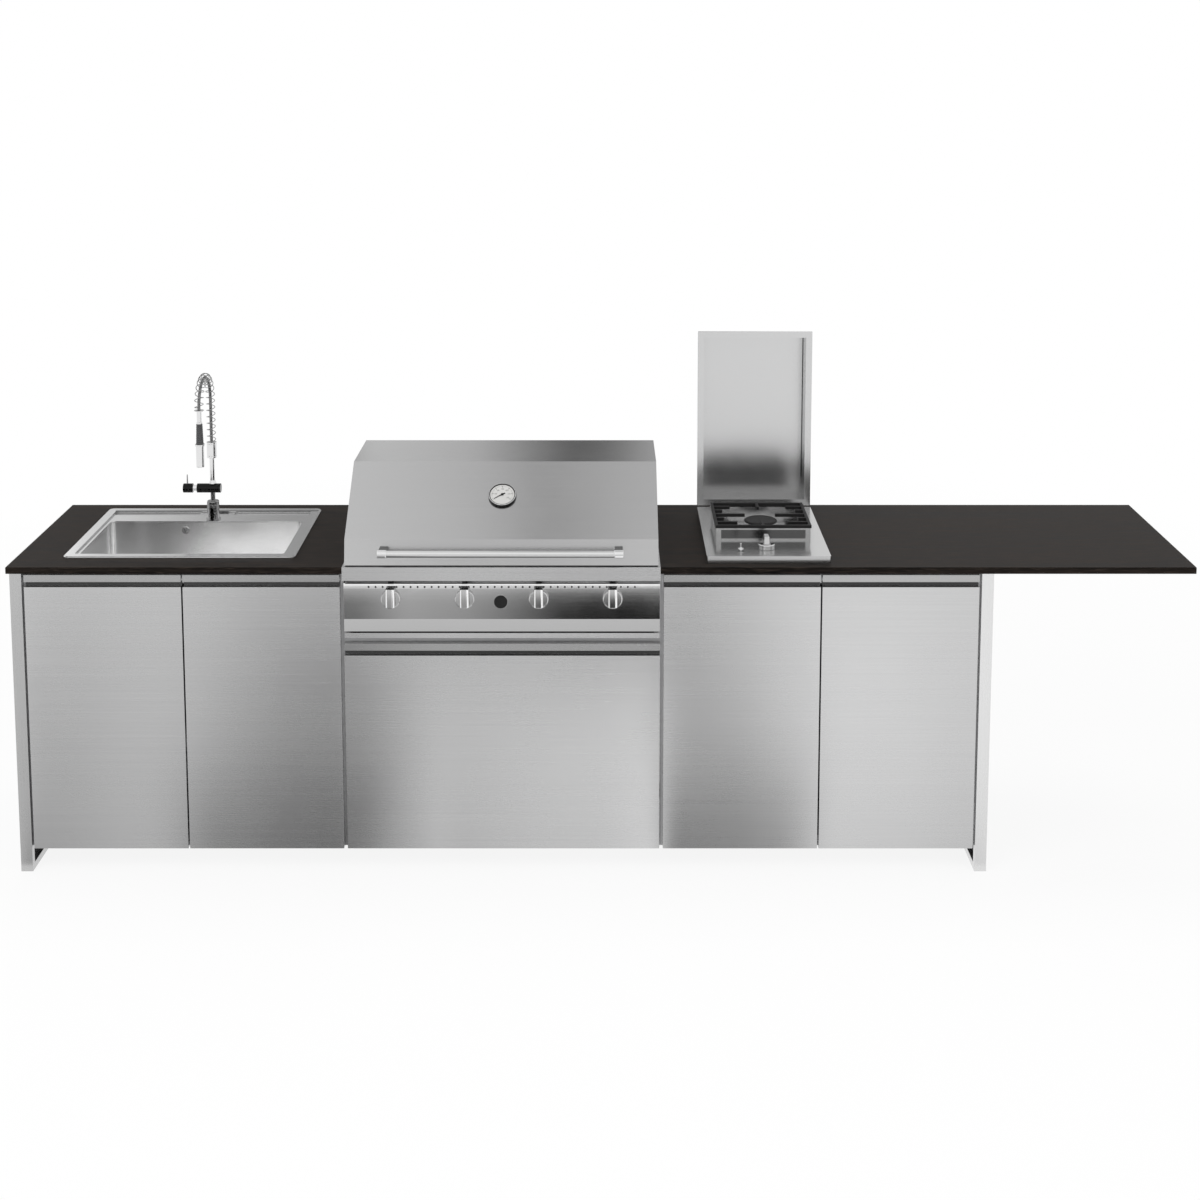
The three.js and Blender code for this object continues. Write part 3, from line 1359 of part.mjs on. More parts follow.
// The two stretches of the hinge line that belong to the lid.
function lidKnuckles() {
  const left = hobX + knuckleInset + knuckleLength;
  const right = hobX + hobWidth - knuckleInset - knuckleLength * 2;
  return [[left, left + knuckleLength], [right, right + knuckleLength]];
}

function hingePin() {
  return rod(at(hobX + knuckleInset, hingeY, hingeZ), at(hobX + hobWidth - knuckleInset, hingeY, hingeZ),
    hingePinRadius, coarseFaces);
}

// Lid: a flanged pan that stands open behind the hob and folds down over it.
function hobLid() {
  const x1 = hobX + hobWidth;
  const face = hingeY + hingeRadius;
  const back = face + lidPan;
  const z0 = hingeZ + hingeRadius + lidBottomGap;
  const z1 = z0 + lidLength;
  const inner = [hobX + lidFlange, x1 - lidFlange];
  const innerZ = [z0 + lidFlange, z1 - lidFlange];
  const flange = cut(
    block(hobX, x1, face, face + lidReturn, z0, z1),
    block(hobX + sheet, x1 - sheet, face + sheet, face + lidReturn + overrun, z0 + sheet, z1 - sheet),
  );
  const pan = block(inner[0] - sheet, inner[1] + sheet, face, back, innerZ[0] - sheet, innerZ[1] + sheet);
  const hollow = block(inner[0], inner[1], face - overrun, back - sheet, innerZ[0], innerZ[1]);
  const knuckles = lidKnuckles().flatMap(([a, b]) => [
    rod(at(a, hingeY, hingeZ), at(b, hingeY, hingeZ), hingeRadius, coarseFaces),
    block(a, b, face - thinSheet, face + sheet, hingeZ, z0 + sheet),
  ]);
  const screws = [lidScrewLowShare, lidScrewHighShare].flatMap((share) => [hobX, x1].map((edge) => {
    const x = edge === hobX ? edge + lidFlange / 2 : edge - lidFlange / 2;
    const z = z0 + share * lidLength;
    return rod(at(x, face - lidScrewRise, z), at(x, face + sheet / 2, z), lidScrewRadius, coarseFaces);
  }));
  const bore = rod(at(hobX, hingeY, hingeZ), at(x1, hingeY, hingeZ), hingePinRadius + clearance, coarseFaces);
  return cut(join(flange, pan, knuckles, screws), hollow, bore);
}

// Pan support: outer frame with fingers of three lengths and one finger front and back.
function hobGrate() {
  const x0 = hobX + burnerBoxX - hobGrateLip;
  const x1 = hobX + burnerBoxX + burnerBoxWidth + hobGrateLip;
  const y0 = hobY + burnerBoxY - hobGrateLip;
  const y1 = hobY + burnerBoxY + burnerBoxDepth + hobGrateLip;
  const z0 = burnerBoxTop + clearance;
  const z1 = z0 + hobGrateHeight;
  const bar = hobGrateBar;
  const frame = cut(block(x0, x1, y0, y1, z0, z1), block(x0 + bar, x1 - bar, y0 + bar, y1 - bar, z0 - overrun, z1 + overrun));
  const middle = (x0 + x1) / 2;
  const half = (x1 - x0) / 2;
  const spacing = (y1 - y0) / (hobFingerShares.length + 1);
  const fingers = hobFingerShares.flatMap((share, index) => {
    const y = y1 - (index + 1) * spacing - bar / 2;
    const reach = share * half + bar;
    return [block(x0, x0 + reach, y, y + bar, z0, z1), block(x1 - reach, x1, y, y + bar, z0, z1)];
  });
  const endFinger = (a, b) => block(middle - bar / 2, middle + bar / 2, a, b, z0, z1);
  return join(frame, fingers, endFinger(y0, y0 + hobGrateEndFinger), endFinger(y1 - hobGrateEndFinger, y1));
}

function hobBurner() {
  const floorZ = burnerBoxTop - burnerWellDepth + clearance;
  const top = burnerBoxTop - clearance;
  const capLow = top - hobCapHeight;
  const middle = hobX + burnerBoxX + burnerBoxWidth / 2;
  return turned([
    [0, floorZ], [hobCupRadius, floorZ], [hobCupRadius, capLow], [hobBurnerRadius, capLow],
    [hobBurnerRadius, top - hobCapHeight / 3], [hobBurnerRadius - hobCapHeight / 2, top], [0, top],
  ], at(middle, hobBurnerY, 0));
}

function hobKnob() {
  const base = hobTop + clearance;
  const skirtTop = base + hobKnobSkirt;
  const skirt = turned([
    [0, -hobShaftLength], [hobShaftRadius, -hobShaftLength], [hobShaftRadius, 0], [hobKnobRadius, 0],
    [hobKnobRadius, hobKnobSkirt - hobShaftRadius / 2], [hobKnobRadius - hobShaftRadius / 2, hobKnobSkirt],
    [0, hobKnobSkirt],
  ], at(hobKnobX, hobKnobY, base));
  const grip = alongY(outline([
    [hobKnobX - hobGripBottom / 2, skirtTop - overrun], [hobKnobX + hobGripBottom / 2, skirtTop - overrun],
    [hobKnobX + hobGripTop / 2, hobKnobTop], [hobKnobX - hobGripTop / 2, hobKnobTop],
  ]), hobKnobY - hobGripDepth / 2, hobKnobY + hobGripDepth / 2);
  return join(skirt, grip);
}

function ignitionButton() {
  const base = hobTop + clearance;
  return turned([
    [0, base - hobShaftLength / 2], [buttonRadius, base - hobShaftLength / 2],
    [buttonRadius, base + buttonTravel + clearance], [buttonCollarRadius, base + buttonTravel + clearance],
    [buttonCollarRadius - buttonCollar / 3, base + buttonTravel + clearance + buttonCollar],
    [buttonTip, base + buttonTravel + clearance + buttonCollar], [buttonTip, base + buttonRise], [0, base + buttonRise],
  ], at(buttonX, buttonY, 0), unitZ, midFaces);
}

addPiece('worktop', worktop(), 'worktop');
addPiece('left_end_frame', endFrame(sideLip, moduleX(0) - gap), 'brushed');
addPiece('right_end_frame', endFrame(moduleX(3) + gap, frameRight), 'brushed');
addPiece('left_end_panel', endPanel(sideLip, 1), 'brushed');
addPiece('right_end_panel', endPanel(frameRight, -1), 'brushed');
addPiece('overhang_bearer', overhangBearer(), 'sheetSteel');
addPiece('sink_cabinet', shelfCabinet(0), 'sheetSteel');
addPiece('grill_cabinet', grillCabinet(), 'sheetSteel');
addPiece('hob_cabinet', shelfCabinet(2), 'sheetSteel');
addPiece('sink_shelf', shelf(0), 'sheetSteel');
addPiece('hob_shelf', shelf(2), 'sheetSteel');
addPiece('front_foot_rail', footRail(carcassY + footRailSetback), 'darkSteel');
addPiece('rear_foot_rail', footRail(backY - footRailSetback / 2 - footRailWidth), 'darkSteel');
['sink_door_left', 'sink_door_right'].forEach((name, side) =>
  addPiece(name, frontPanel(...doorEdges(0, side), doorBottom, doorLipTop), 'brushed'));
['hob_door_left', 'hob_door_right'].forEach((name, side) =>
  addPiece(name, frontPanel(...doorEdges(2, side), doorBottom, doorLipTop), 'brushed'));
addPiece('drawer_front', frontPanel(fasciaLeft, fasciaRight, doorBottom, drawerLipTop), 'brushed');
addPiece('drawer_box', drawerBox(), 'sheetSteel');
['drawer_runner_left', 'drawer_runner_right'].forEach((name, side) => addPiece(name, drawerRunner(side), 'darkSteel'));
addPiece('grill_firebox', firebox(), 'brushed');
addPiece('control_panel', controlPanel(), 'polished');
for (let index = 0; index < knobCount; index += 1) {
  addPiece(`knob_${index + 1}`, grillKnob(index), 'polished');
  addPiece(`burner_${index + 1}`, burner(index), 'sheetSteel');
}
addPiece('gas_manifold', gasManifold(), 'darkSteel');
['cooking_grate_left', 'cooking_grate_right'].forEach((name, side) => addPiece(name, cookingGrate(side), 'castIron'));
addPiece('warming_rack', warmingRack(), 'chrome');
addPiece('drip_tray', dripTray(), 'brushed');
addPiece('hood', hood(), 'brushed');
addPiece('handle_bar', handleBar(), 'polished');
addPiece('handle_bracket_left', handleBracket(-1), 'chrome');
addPiece('handle_bracket_right', handleBracket(1), 'chrome');
addPiece('thermometer_case', thermometerCase(), 'chrome');
addPiece('thermometer_dial', thermometerDial(), 'dial');
addPiece('thermometer_needle', thermometerNeedle(), 'pointer');
addPiece('sink_bowl', sinkBowl(), 'brushed');
addPiece('sink_strainer', sinkStrainer(), 'chrome');
addPiece('overflow_cover', overflowCover(), 'chrome');
addPiece('waste_trap', wasteTrap(), 'plastic');
addPiece('tap_body', tapBody(), 'chrome');
addPiece('tap_lever', tapLever(), 'chrome');
addPiece('tap_riser', tapRiser(), 'chrome');
addPiece('tap_spring', tapSpring(), 'chrome');
addPiece('tap_hose', tapHose(), 'rubber');
addPiece('spray_handle', sprayHandle(), 'chrome');
addPiece('hob_plate', hobPlate(), 'brushed');
addPiece('hob_grate', hobGrate(), 'castIron');
addPiece('hob_burner', hobBurner(), 'castIron');
addPiece('hob_lid', hobLid(), 'brushed');
addPiece('lid_hinge_pin', hingePin(), 'chrome');
addPiece('hob_knob', hobKnob(), 'chrome');
addPiece('hob_ignition_button', ignitionButton(), 'chrome');

// The origin goes to the middle of the footprint: the handle's collars reach furthest forward.
const frontReach = handleY - collarRadius;
model.position.set(-worktopLength / 2, -(worktopDepth + frontReach) / 2, 0);

export default island;
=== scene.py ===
import bmesh
import bpy
import json
import math
from mathutils import Matrix, Vector


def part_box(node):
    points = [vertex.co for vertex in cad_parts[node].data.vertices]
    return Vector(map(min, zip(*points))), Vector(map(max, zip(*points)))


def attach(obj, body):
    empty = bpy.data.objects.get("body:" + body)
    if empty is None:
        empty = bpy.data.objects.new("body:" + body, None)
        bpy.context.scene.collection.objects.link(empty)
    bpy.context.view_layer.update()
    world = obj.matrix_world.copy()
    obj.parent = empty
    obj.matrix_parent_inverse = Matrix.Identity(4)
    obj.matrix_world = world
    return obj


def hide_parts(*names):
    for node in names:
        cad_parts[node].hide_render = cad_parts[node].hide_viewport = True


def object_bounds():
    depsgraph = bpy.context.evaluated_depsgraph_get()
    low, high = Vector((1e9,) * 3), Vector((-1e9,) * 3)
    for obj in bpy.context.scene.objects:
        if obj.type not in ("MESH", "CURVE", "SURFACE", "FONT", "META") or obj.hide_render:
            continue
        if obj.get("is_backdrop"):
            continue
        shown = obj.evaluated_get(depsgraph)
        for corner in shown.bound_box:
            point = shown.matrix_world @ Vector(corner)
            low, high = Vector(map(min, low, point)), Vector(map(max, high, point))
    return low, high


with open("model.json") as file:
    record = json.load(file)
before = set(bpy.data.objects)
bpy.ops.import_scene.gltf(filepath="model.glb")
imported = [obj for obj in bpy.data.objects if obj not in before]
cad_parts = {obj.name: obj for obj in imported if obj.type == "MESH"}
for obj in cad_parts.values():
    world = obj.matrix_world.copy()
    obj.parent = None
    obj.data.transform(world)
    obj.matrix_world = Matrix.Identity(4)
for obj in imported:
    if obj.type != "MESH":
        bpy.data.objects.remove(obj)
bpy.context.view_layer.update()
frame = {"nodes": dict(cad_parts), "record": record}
nodes = frame["nodes"]
scene = bpy.context.scene
bodyOf = {name: body for body, names in frame["record"]["behaviour"]["bodies"].items() for name in names}
print("frame loaded:", len(nodes), "nodes")

mm = 0.001
worktopLow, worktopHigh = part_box("worktop")
corner = Vector((worktopLow.x, worktopLow.y, 0))  # under the worktop's left front corner


def place(x, y, z):
    return corner + Vector((x, y, z)) * mm


# the camera stands where the photographer's did: in front of the middle, above eye level

cameraStyle = {
    "place": (-0.0026, -5.1578, 2.4351),
    "tilt": 7.111,
    "lens": 53.783,
    "sensor": 36,
    "shift": -0.3,
}
cameraData = bpy.data.cameras.new("camera")
cameraData.lens = cameraStyle["lens"]
cameraData.sensor_width = cameraStyle["sensor"]
cameraData.shift_y = cameraStyle["shift"]
cameraData.clip_end = 60
camera = bpy.data.objects.new("camera", cameraData)
camera.location = cameraStyle["place"]
camera.rotation_euler = (math.radians(90 - cameraStyle["tilt"]), 0, 0)
scene.collection.objects.link(camera)
scene.camera = camera
print("camera placed")


# materials

class Value:
    def __init__(self, tree, socket):
        self.tree = tree
        self.socket = socket

    def maths(self, operation, first, second):
        node = self.tree.nodes.new("ShaderNodeMath")
        node.operation = operation
        for entry, item in zip(node.inputs, (first, second)):
            if isinstance(item, Value):
                self.tree.links.new(item.socket, entry)
            else:
                entry.default_value = item
        return Value(self.tree, node.outputs[0])

    def __add__(self, other):
        return self.maths("ADD", self, other)

    def __radd__(self, other):
        return self.maths("ADD", other, self)

    def __mul__(self, other):
        return self.maths("MULTIPLY", self, other)

    def __rmul__(self, other):
        return self.maths("MULTIPLY", other, self)


class Finish:
    def __init__(self, name, fixed):
        self.material = bpy.data.materials.new(name)
        self.material.use_nodes = True
        self.tree = self.material.node_tree
        self.shader = self.tree.nodes["Principled BSDF"]
        for name, value in fixed.items():
            self.shader.inputs[name].default_value = value

    def feed(self, entry, value):
        if isinstance(value, Value):
            self.tree.links.new(value.socket, entry)
        else:
            entry.default_value = value

    def node(self, kind, settings=None, sockets=None, out=0):
        node = self.tree.nodes.new(kind)
        for name, value in (settings or {}).items():
            if name == "stops":
                ramp = node.color_ramp.elements
                ramp.remove(ramp[1])
                ramp[0].position = value[0][0]
                for position, level in value[1:]:
                    ramp.new(position).color = (level, level, level, 1)
                ramp[0].color = (value[0][1], value[0][1], value[0][1], 1)
            else:
                setattr(node, name, value)
        for name, value in (sockets or {}).items():
            self.feed(node.inputs[name], value)
        return Value(self.tree, node.outputs[out])

    def grain(self, stretch, detail=3, roughness=0.55, turn=(0, 0, 0)):
        spot = self.node("ShaderNodeTexCoord", out="Object")
        mapped = self.node("ShaderNodeMapping", None, {"Vector": spot, "Scale": stretch, "Rotation": turn})
        return self.node("ShaderNodeTexNoise", None, {
            "Vector": mapped, "Scale": 1, "Detail": detail, "Roughness": roughness})

    def ramp(self, value, stops):
        return self.node("ShaderNodeValToRGB", {"stops": stops}, {"Fac": value})

    def zone(self, low, high, soft=0.8):
        # 1 inside a box given in millimetres from the worktop's left front corner, 0 outside
        softs = soft if isinstance(soft, tuple) else (soft, soft, soft)
        spot = self.node("ShaderNodeTexCoord", out="Object")
        parts = self.tree.nodes.new("ShaderNodeSeparateXYZ")
        self.feed(parts.inputs[0], spot)
        mask = 1.0
        for axis, (near, far) in enumerate(zip(place(*low), place(*high))):
            along = Value(self.tree, parts.outputs[axis])
            for edge, inward in ((near, softs[axis] * mm), (far, -softs[axis] * mm)):
                mask = mask * self.node("ShaderNodeMapRange", {"interpolation_type": "SMOOTHSTEP"}, {
                    "Value": along, "From Min": edge, "From Max": edge + inward})
        return mask

    def tint(self, share, first, second):
        return self.node("ShaderNodeMix", {"data_type": "RGBA"}, {
            0: share, 6: (*first, 1), 7: (*second, 1)}, out=2)

    def bump(self, height, strength, depth):
        return self.node("ShaderNodeBump", None, {
            "Height": height, "Strength": strength, "Distance": depth})

    def dress(self, **links):
        for name, value in links.items():
            self.feed(self.shader.inputs[name.replace("_", " ")], value)
        return self.material


brushStretch = {
    "x": ((1.4, 420, 420), (4, 1500, 1500)),
    "y": ((420, 1.4, 420), (1500, 4, 1500)),
    "z": ((420, 420, 1.4), (1500, 1500, 4)),
}


def brushedSteel(name, along, style):
    finish = Finish(name, {
        "Metallic": 1, "Anisotropic": style["anisotropy"], "Anisotropic Rotation": style["turn"]})
    wide, fine = brushStretch[along]
    bands = finish.grain(wide, 4, 0.6)
    lines = finish.grain(fine, 2, 0.5)
    # faint wiping marks
    marks = finish.ramp(finish.grain((3.1, 3.1, 3.1), 5, 0.62), ((0.38, 0), (0.72, 1)))
    share = bands * 0.6 + lines * 0.4
    colour = finish.tint(share, style["dark"], style["light"])
    # painted light and shade: each box paints the base colour to a darker or lighter level
    for box, level in style.get("paintedLight", ()):
        colour = finish.node("ShaderNodeMix", {"data_type": "RGBA"}, {
            0: finish.zone(*box), 6: colour, 7: (level, level, level, 1)}, out=2)
    return finish.dress(
        Base_Color=colour,
        Roughness=style["rough"] + share * style["spread"] + marks * style["marks"],
        Normal=finish.bump(lines + bands * 0.5, style["bump"], 0.00012),
    )


steelStyle = {
    "anisotropy": 0.7, "turn": 0.25, "dark": (0.52, 0.52, 0.525), "light": (0.64, 0.64, 0.64),
    "rough": 0.2, "spread": 0.1, "marks": 0.05, "bump": 0.1,
}
polishedStyle = {
    "anisotropy": 0.3, "turn": 0.25, "dark": (0.55, 0.55, 0.55), "light": (0.61, 0.61, 0.61),
    "rough": 0.07, "spread": 0.07, "marks": 0.03, "bump": 0.06,
}
legStyle = {**steelStyle, "anisotropy": 0.3, "turn": 0}

# painted light and shade: parts of a piece painted darker or lighter than the rest, standing in for shade,
# highlights and reflections; each has a box, how soft its edge is, and a level grooves are painted dark as
# shade, because the studio light doesn't reach them
groove = 0.07
# doors and drawer: painted shade in the groove along the top and on the lip above it
doorPaintedShade = [(((-50, 25.2, 842.5), (3400, 60, 857)), groove), (((-50, 20, 857), (3400, 60, 880)), 0.43)]
drawerPaintedShade = [(((-50, 25.2, 642.5), (3400, 60, 657)), groove),
               (((-50, 20, 657), (3400, 60, 680)), 0.42)]
# hob plate: painted shade in the groove round its edge
hobPaintedShade = [(((2013, 188.6, 933.6), (2258, 192.6, 960)), groove)]
lidBack = (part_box("hob_lid")[1].y - corner.y) / mm
# lid: its lower part painted darker as shade, and a painted shadow strip on the inner face of its right wall
lidPaintedShade = [(((1900, 500, 850), (2400, 700, 1075), 70), 0.42),
            (((2292, lidBack - 9, 1000), (2297, lidBack + 1, 1455), 0.4), 0.05)]
# handle bar: painted shade along its underside
barPaintedShade = [(((900, -60, 940), (1900, 0, 951.5)), 0.06)]
# sink: the bowl painted brighter as light, its left part painted darker as shade, and painted shade along the
# top of the back wall and its eased edge
sinkPaintedLightAndShade = [(((166, 106, 690), (766, 466, 904), 1), 0.985),
             (((120, 106, 690), (430, 466, 904), (140, 1, 1)), 0.73),
             (((160, 548, 900), (790, 565, 914.6)), 0.3)]
# tap: a painted dark reflection down the front of the column
tapPaintedReflection = [(((474.5, 455, 905), (485.5, 471, 948), 1.5), 0.02)]
# control panel: a painted highlight along its rolled top band and a darker painted reflection on its lower
# band
panelPaintedLightAndShade = [(((900, 20, 836), (1900, 40, 866), 5), 0.85), (((900, 20, 710), (1900, 40, 749)), 0.48)]
knobPaintedHighlights = []
for index in (1, 2, 3, 4):
    left, right = ((spot.x - corner.x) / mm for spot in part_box(f"knob_{index}"))
    middle = (left + right) / 2
    # painted highlights down the grip's left and right edges
    knobPaintedHighlights += [(((middle - 12, -20, 700), (middle - 7, 20, 900), 1), 0.95),
                  (((middle + 5, -20, 700), (middle + 13.5, 20, 900), 1), 0.98)]
    # the knob's painted reflection, dark, in the panel's rolled band
    panelPaintedLightAndShade.append((((middle - 9, 20, 850), (middle + 9, 40, 870), 2), 0.2))
steelAcross = brushedSteel("steelBrushedAcross", "x", steelStyle)
steelHood = brushedSteel("steelHood", "x", {
    **steelStyle, "anisotropy": 0.35, "dark": (0.55, 0.55, 0.553), "light": (0.62, 0.62, 0.62),
    "rough": 0.13, "spread": 0.06, "bump": 0.08})
steelDoor = brushedSteel("steelDoor", "x", {**steelStyle, "paintedLight": doorPaintedShade})
steelDrawer = brushedSteel("steelDrawer", "x", {**steelStyle, "paintedLight": drawerPaintedShade})
# the end frames share one steel in a shaded and a lit copy: the left frame's painted darker as shade, the
# right frame's painted lighter as light
steelLegPaintedShade = brushedSteel("steelLegPaintedShade", "z", {**legStyle, "dark": (0.5, 0.5, 0.5), "light": (0.58, 0.58, 0.58)})
steelLegPaintedLight = brushedSteel("steelLegPaintedLight", "z", {
    **legStyle, "dark": (0.7, 0.7, 0.7), "light": (0.78, 0.78, 0.78)})
steelUpright = brushedSteel("steelBrushedUpright", "z", {**steelStyle, "anisotropy": 0.5, "turn": 0})
steelPolished = brushedSteel("steelPolished", "x", polishedStyle)
steelPanel = brushedSteel("steelPanel", "x", {
    **polishedStyle, "rough": 0.05, "spread": 0.04, "paintedLight": panelPaintedLightAndShade})
steelHob = brushedSteel("steelHob", "x", {
    **steelStyle, "anisotropy": 0.3, "dark": (0.45, 0.45, 0.45), "light": (0.53, 0.53, 0.53),
    "rough": 0.13, "bump": 0.06, "paintedLight": hobPaintedShade})
steelKnob = brushedSteel("steelKnob", "z", {
    **polishedStyle, "dark": (0.53, 0.53, 0.53), "light": (0.6, 0.6, 0.6), "turn": 0,
    "paintedLight": knobPaintedHighlights})


def satinSteel(name, style):
    finish = Finish(name, {"Metallic": 1})
    cloud = finish.grain((9, 9, 9), 4, 0.6)
    fleck = finish.grain((260, 260, 260), 3, 0.6)
    colour = finish.tint(cloud * 0.6 + fleck * 0.4, style["dark"], style["light"])
    # painted light and shade: each box paints the base colour to a darker or lighter level
    for box, level in style.get("paintedLight", ()):
        colour = finish.node("ShaderNodeMix", {"data_type": "RGBA"}, {
            0: finish.zone(*box), 6: colour, 7: (level, level, level, 1)}, out=2)
    return finish.dress(
        Base_Color=colour,
        Roughness=style["rough"] + fleck * style["spread"] + cloud * 0.05,
        Normal=finish.bump(fleck, style["bump"], 0.0001),
    )


sheetSteel = satinSteel("sheetSteel", {
    "dark": (0.36, 0.36, 0.37), "light": (0.5, 0.5, 0.5), "rough": 0.34, "spread": 0.12, "bump": 0.15})
darkSteel = satinSteel("darkSteel", {
    "dark": (0.06, 0.06, 0.062), "light": (0.13, 0.13, 0.13), "rough": 0.38, "spread": 0.16, "bump": 0.25})
lidSteel = satinSteel("lidSteel", {
    "dark": (0.61, 0.61, 0.615), "light": (0.65, 0.65, 0.65), "rough": 0.18, "spread": 0.05, "bump": 0.015,
    "paintedLight": lidPaintedShade})
sinkSteel = satinSteel("sinkSteel", {
    "dark": (0.82, 0.82, 0.823), "light": (0.87, 0.87, 0.87), "rough": 0.14, "spread": 0.05,
    "bump": 0.012, "paintedLight": sinkPaintedLightAndShade})
barSteel = satinSteel("barSteel", {
    "dark": (0.7, 0.7, 0.7), "light": (0.76, 0.76, 0.76), "rough": 0.1, "spread": 0.03, "bump": 0.006,
    "paintedLight": barPaintedShade})
hoseSteel = satinSteel("hoseSteel", {
    "dark": (0.14, 0.14, 0.142), "light": (0.24, 0.24, 0.24), "rough": 0.2, "spread": 0.1, "bump": 0.2})
# steel painted near black, standing in for the dark reflection on the handle arms
steelPaintedDarkReflection = satinSteel("steelPaintedDarkReflection", {
    "dark": (0.05, 0.05, 0.05), "light": (0.09, 0.09, 0.09), "rough": 0.14, "spread": 0.04, "bump": 0.006})
# chrome painted a darker grey, standing in for the darker reflections on the tap's column, lever pin and
# spring
chromePaintedGreyReflection = satinSteel("chromePaintedGreyReflection", {
    "dark": (0.3, 0.3, 0.303), "light": (0.36, 0.36, 0.36), "rough": 0.06, "spread": 0.03, "bump": 0.006,
    "paintedLight": tapPaintedReflection})
# chrome painted near black, standing in for the dark reflections on the gauge case and the tap's bars
chromePaintedDarkReflection = satinSteel("chromePaintedDarkReflection", {
    "dark": (0.012, 0.012, 0.012), "light": (0.02, 0.02, 0.02), "rough": 0.08, "spread": 0.04, "bump": 0.006})
brightChrome = satinSteel("brightChrome", {
    "dark": (0.74, 0.74, 0.745), "light": (0.8, 0.8, 0.8), "rough": 0.04, "spread": 0.03, "bump": 0.006})


def castIron(name, style):
    finish = Finish(name, {"Metallic": 0, "Specular IOR Level": style["shine"]})
    pits = finish.grain((900, 900, 900), 3, 0.7)
    cloud = finish.grain((30, 30, 30), 4, 0.6)
    return finish.dress(
        Base_Color=finish.tint(cloud, style["dark"], style["light"]),
        Roughness=0.42 + pits * 0.25,
        Normal=finish.bump(pits, 0.45, 0.0004),
    )


def darkLaminate():
    finish = Finish("darkLaminate", {"Metallic": 0, "Specular IOR Level": 0.05})
    bend = finish.grain((0.9, 3.5, 3.5), 4, 0.55)
    spot = finish.node("ShaderNodeTexCoord", out="Object")
    push = finish.node("ShaderNodeCombineXYZ", None, {"X": 0.0, "Y": bend * 0.09, "Z": bend * 0.05})
    bent = finish.node("ShaderNodeVectorMath", {"operation": "ADD"}, {0: spot, 1: push})
    wide = finish.node("ShaderNodeMapping", None, {"Vector": bent, "Scale": (1.3, 42, 42)})
    figure = finish.node("ShaderNodeTexNoise", None, {
        "Vector": wide, "Scale": 1, "Detail": 5, "Roughness": 0.62})
    thin = finish.node("ShaderNodeMapping", None, {"Vector": bent, "Scale": (14, 420, 420)})
    pores = finish.node("ShaderNodeTexNoise", None, {
        "Vector": thin, "Scale": 1, "Detail": 3, "Roughness": 0.6})
    mask = finish.ramp(figure, ((0.34, 0), (0.68, 1)))
    fleck = finish.ramp(pores, ((0.5, 0), (0.72, 1)))
    ground = finish.tint(mask, (0.0022, 0.0018, 0.0016), (0.019, 0.0145, 0.012))
    colour = finish.node("ShaderNodeMix", {"data_type": "RGBA"}, {
        0: fleck * 0.55, 6: ground, 7: (0.06, 0.045, 0.036, 1)}, out=2)
    return finish.dress(
        Base_Color=colour,
        Roughness=0.46 + mask * 0.08 + fleck * 0.1,
        Normal=finish.bump(fleck * 0.7 + mask * 0.3, 0.3, 0.0003),
    )


def moulded(name, style):
    finish = Finish(name, {"Specular IOR Level": style.get("shine", 0.5)})
    skin = finish.grain((380, 380, 380), 3, 0.6)
    cloud = finish.grain((22, 22, 22), 3, 0.5)
    return finish.dress(
        Base_Color=finish.tint(cloud, style["dark"], style["light"]),
        Roughness=style["rough"] + skin * 0.12,
        Normal=finish.bump(skin, 0.12, 0.0001),
    )


ironCast = castIron("castIron", {
    "dark": (0.006, 0.006, 0.0062), "light": (0.018, 0.0175, 0.0175), "shine": 0.2})
grateIron = castIron("grateIron", {
    "dark": (0.045, 0.045, 0.046), "light": (0.1, 0.1, 0.098), "shine": 0.45})
laminate = darkLaminate()
dialWhite = moulded("dialWhite", {"dark": (0.5, 0.497, 0.485), "light": (0.54, 0.535, 0.52), "rough": 0.25})
printBlack = moulded("printBlack", {
    "dark": (0.012, 0.012, 0.012), "light": (0.022, 0.022, 0.022), "rough": 0.4, "shine": 0.1})
greyPlastic = moulded("greyPlastic", {"dark": (0.3, 0.31, 0.32), "light": (0.4, 0.4, 0.41), "rough": 0.4})
gripGrey = moulded("gripGrey", {"dark": (0.045, 0.045, 0.047), "light": (0.08, 0.08, 0.082), "rough": 0.38})
print("materials made:", len(bpy.data.materials))


# making meshes

def keepFlat(piece, keepSharp):
    weights = piece.modifiers.new("flatFaces", "WEIGHTED_NORMAL")
    weights.weight = 100
    weights.keep_sharp = keepSharp


def finishPiece(name, mesh, body, finish, replaced=(), sharp=34, flat=True):
    mesh.validate()
    mesh.shade_smooth()
    mesh.set_sharp_from_angle(angle=math.radians(sharp))
    mesh.materials.append(finish)
    piece = bpy.data.objects.new(name, mesh)
    scene.collection.objects.link(piece)
    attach(piece, body)
    if replaced:
        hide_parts(*replaced)
    if flat:
        keepFlat(piece, True)
    return piece


def meshFrom(name, parts):
    shape = bmesh.new()
    for points, faces in parts:
        corners = [shape.verts.new(point) for point in points]
        for face in faces:
            shape.faces.new([corners[index] for index in face])
    bmesh.ops.recalc_face_normals(shape, faces=shape.faces)
    mesh = bpy.data.meshes.new(name)
    shape.to_mesh(mesh)
    shape.free()
    return mesh


def soften(profile, ease, steps=4):
    rounded = [profile[0]]
    for before, knee, after in zip(profile, profile[1:], profile[2:]):
        a, b, c = Vector(before), Vector(knee), Vector(after)
        reach = min(ease, (a - b).length * 0.45, (c - b).length * 0.45)
        start = b + (a - b).normalized() * reach
        end = b + (c - b).normalized() * reach
        for step in range(steps + 1):
            t = step / steps
            rounded.append(tuple(start * (1 - t) ** 2 + b * 2 * t * (1 - t) + end * t * t))
    return rounded + [profile[-1]]


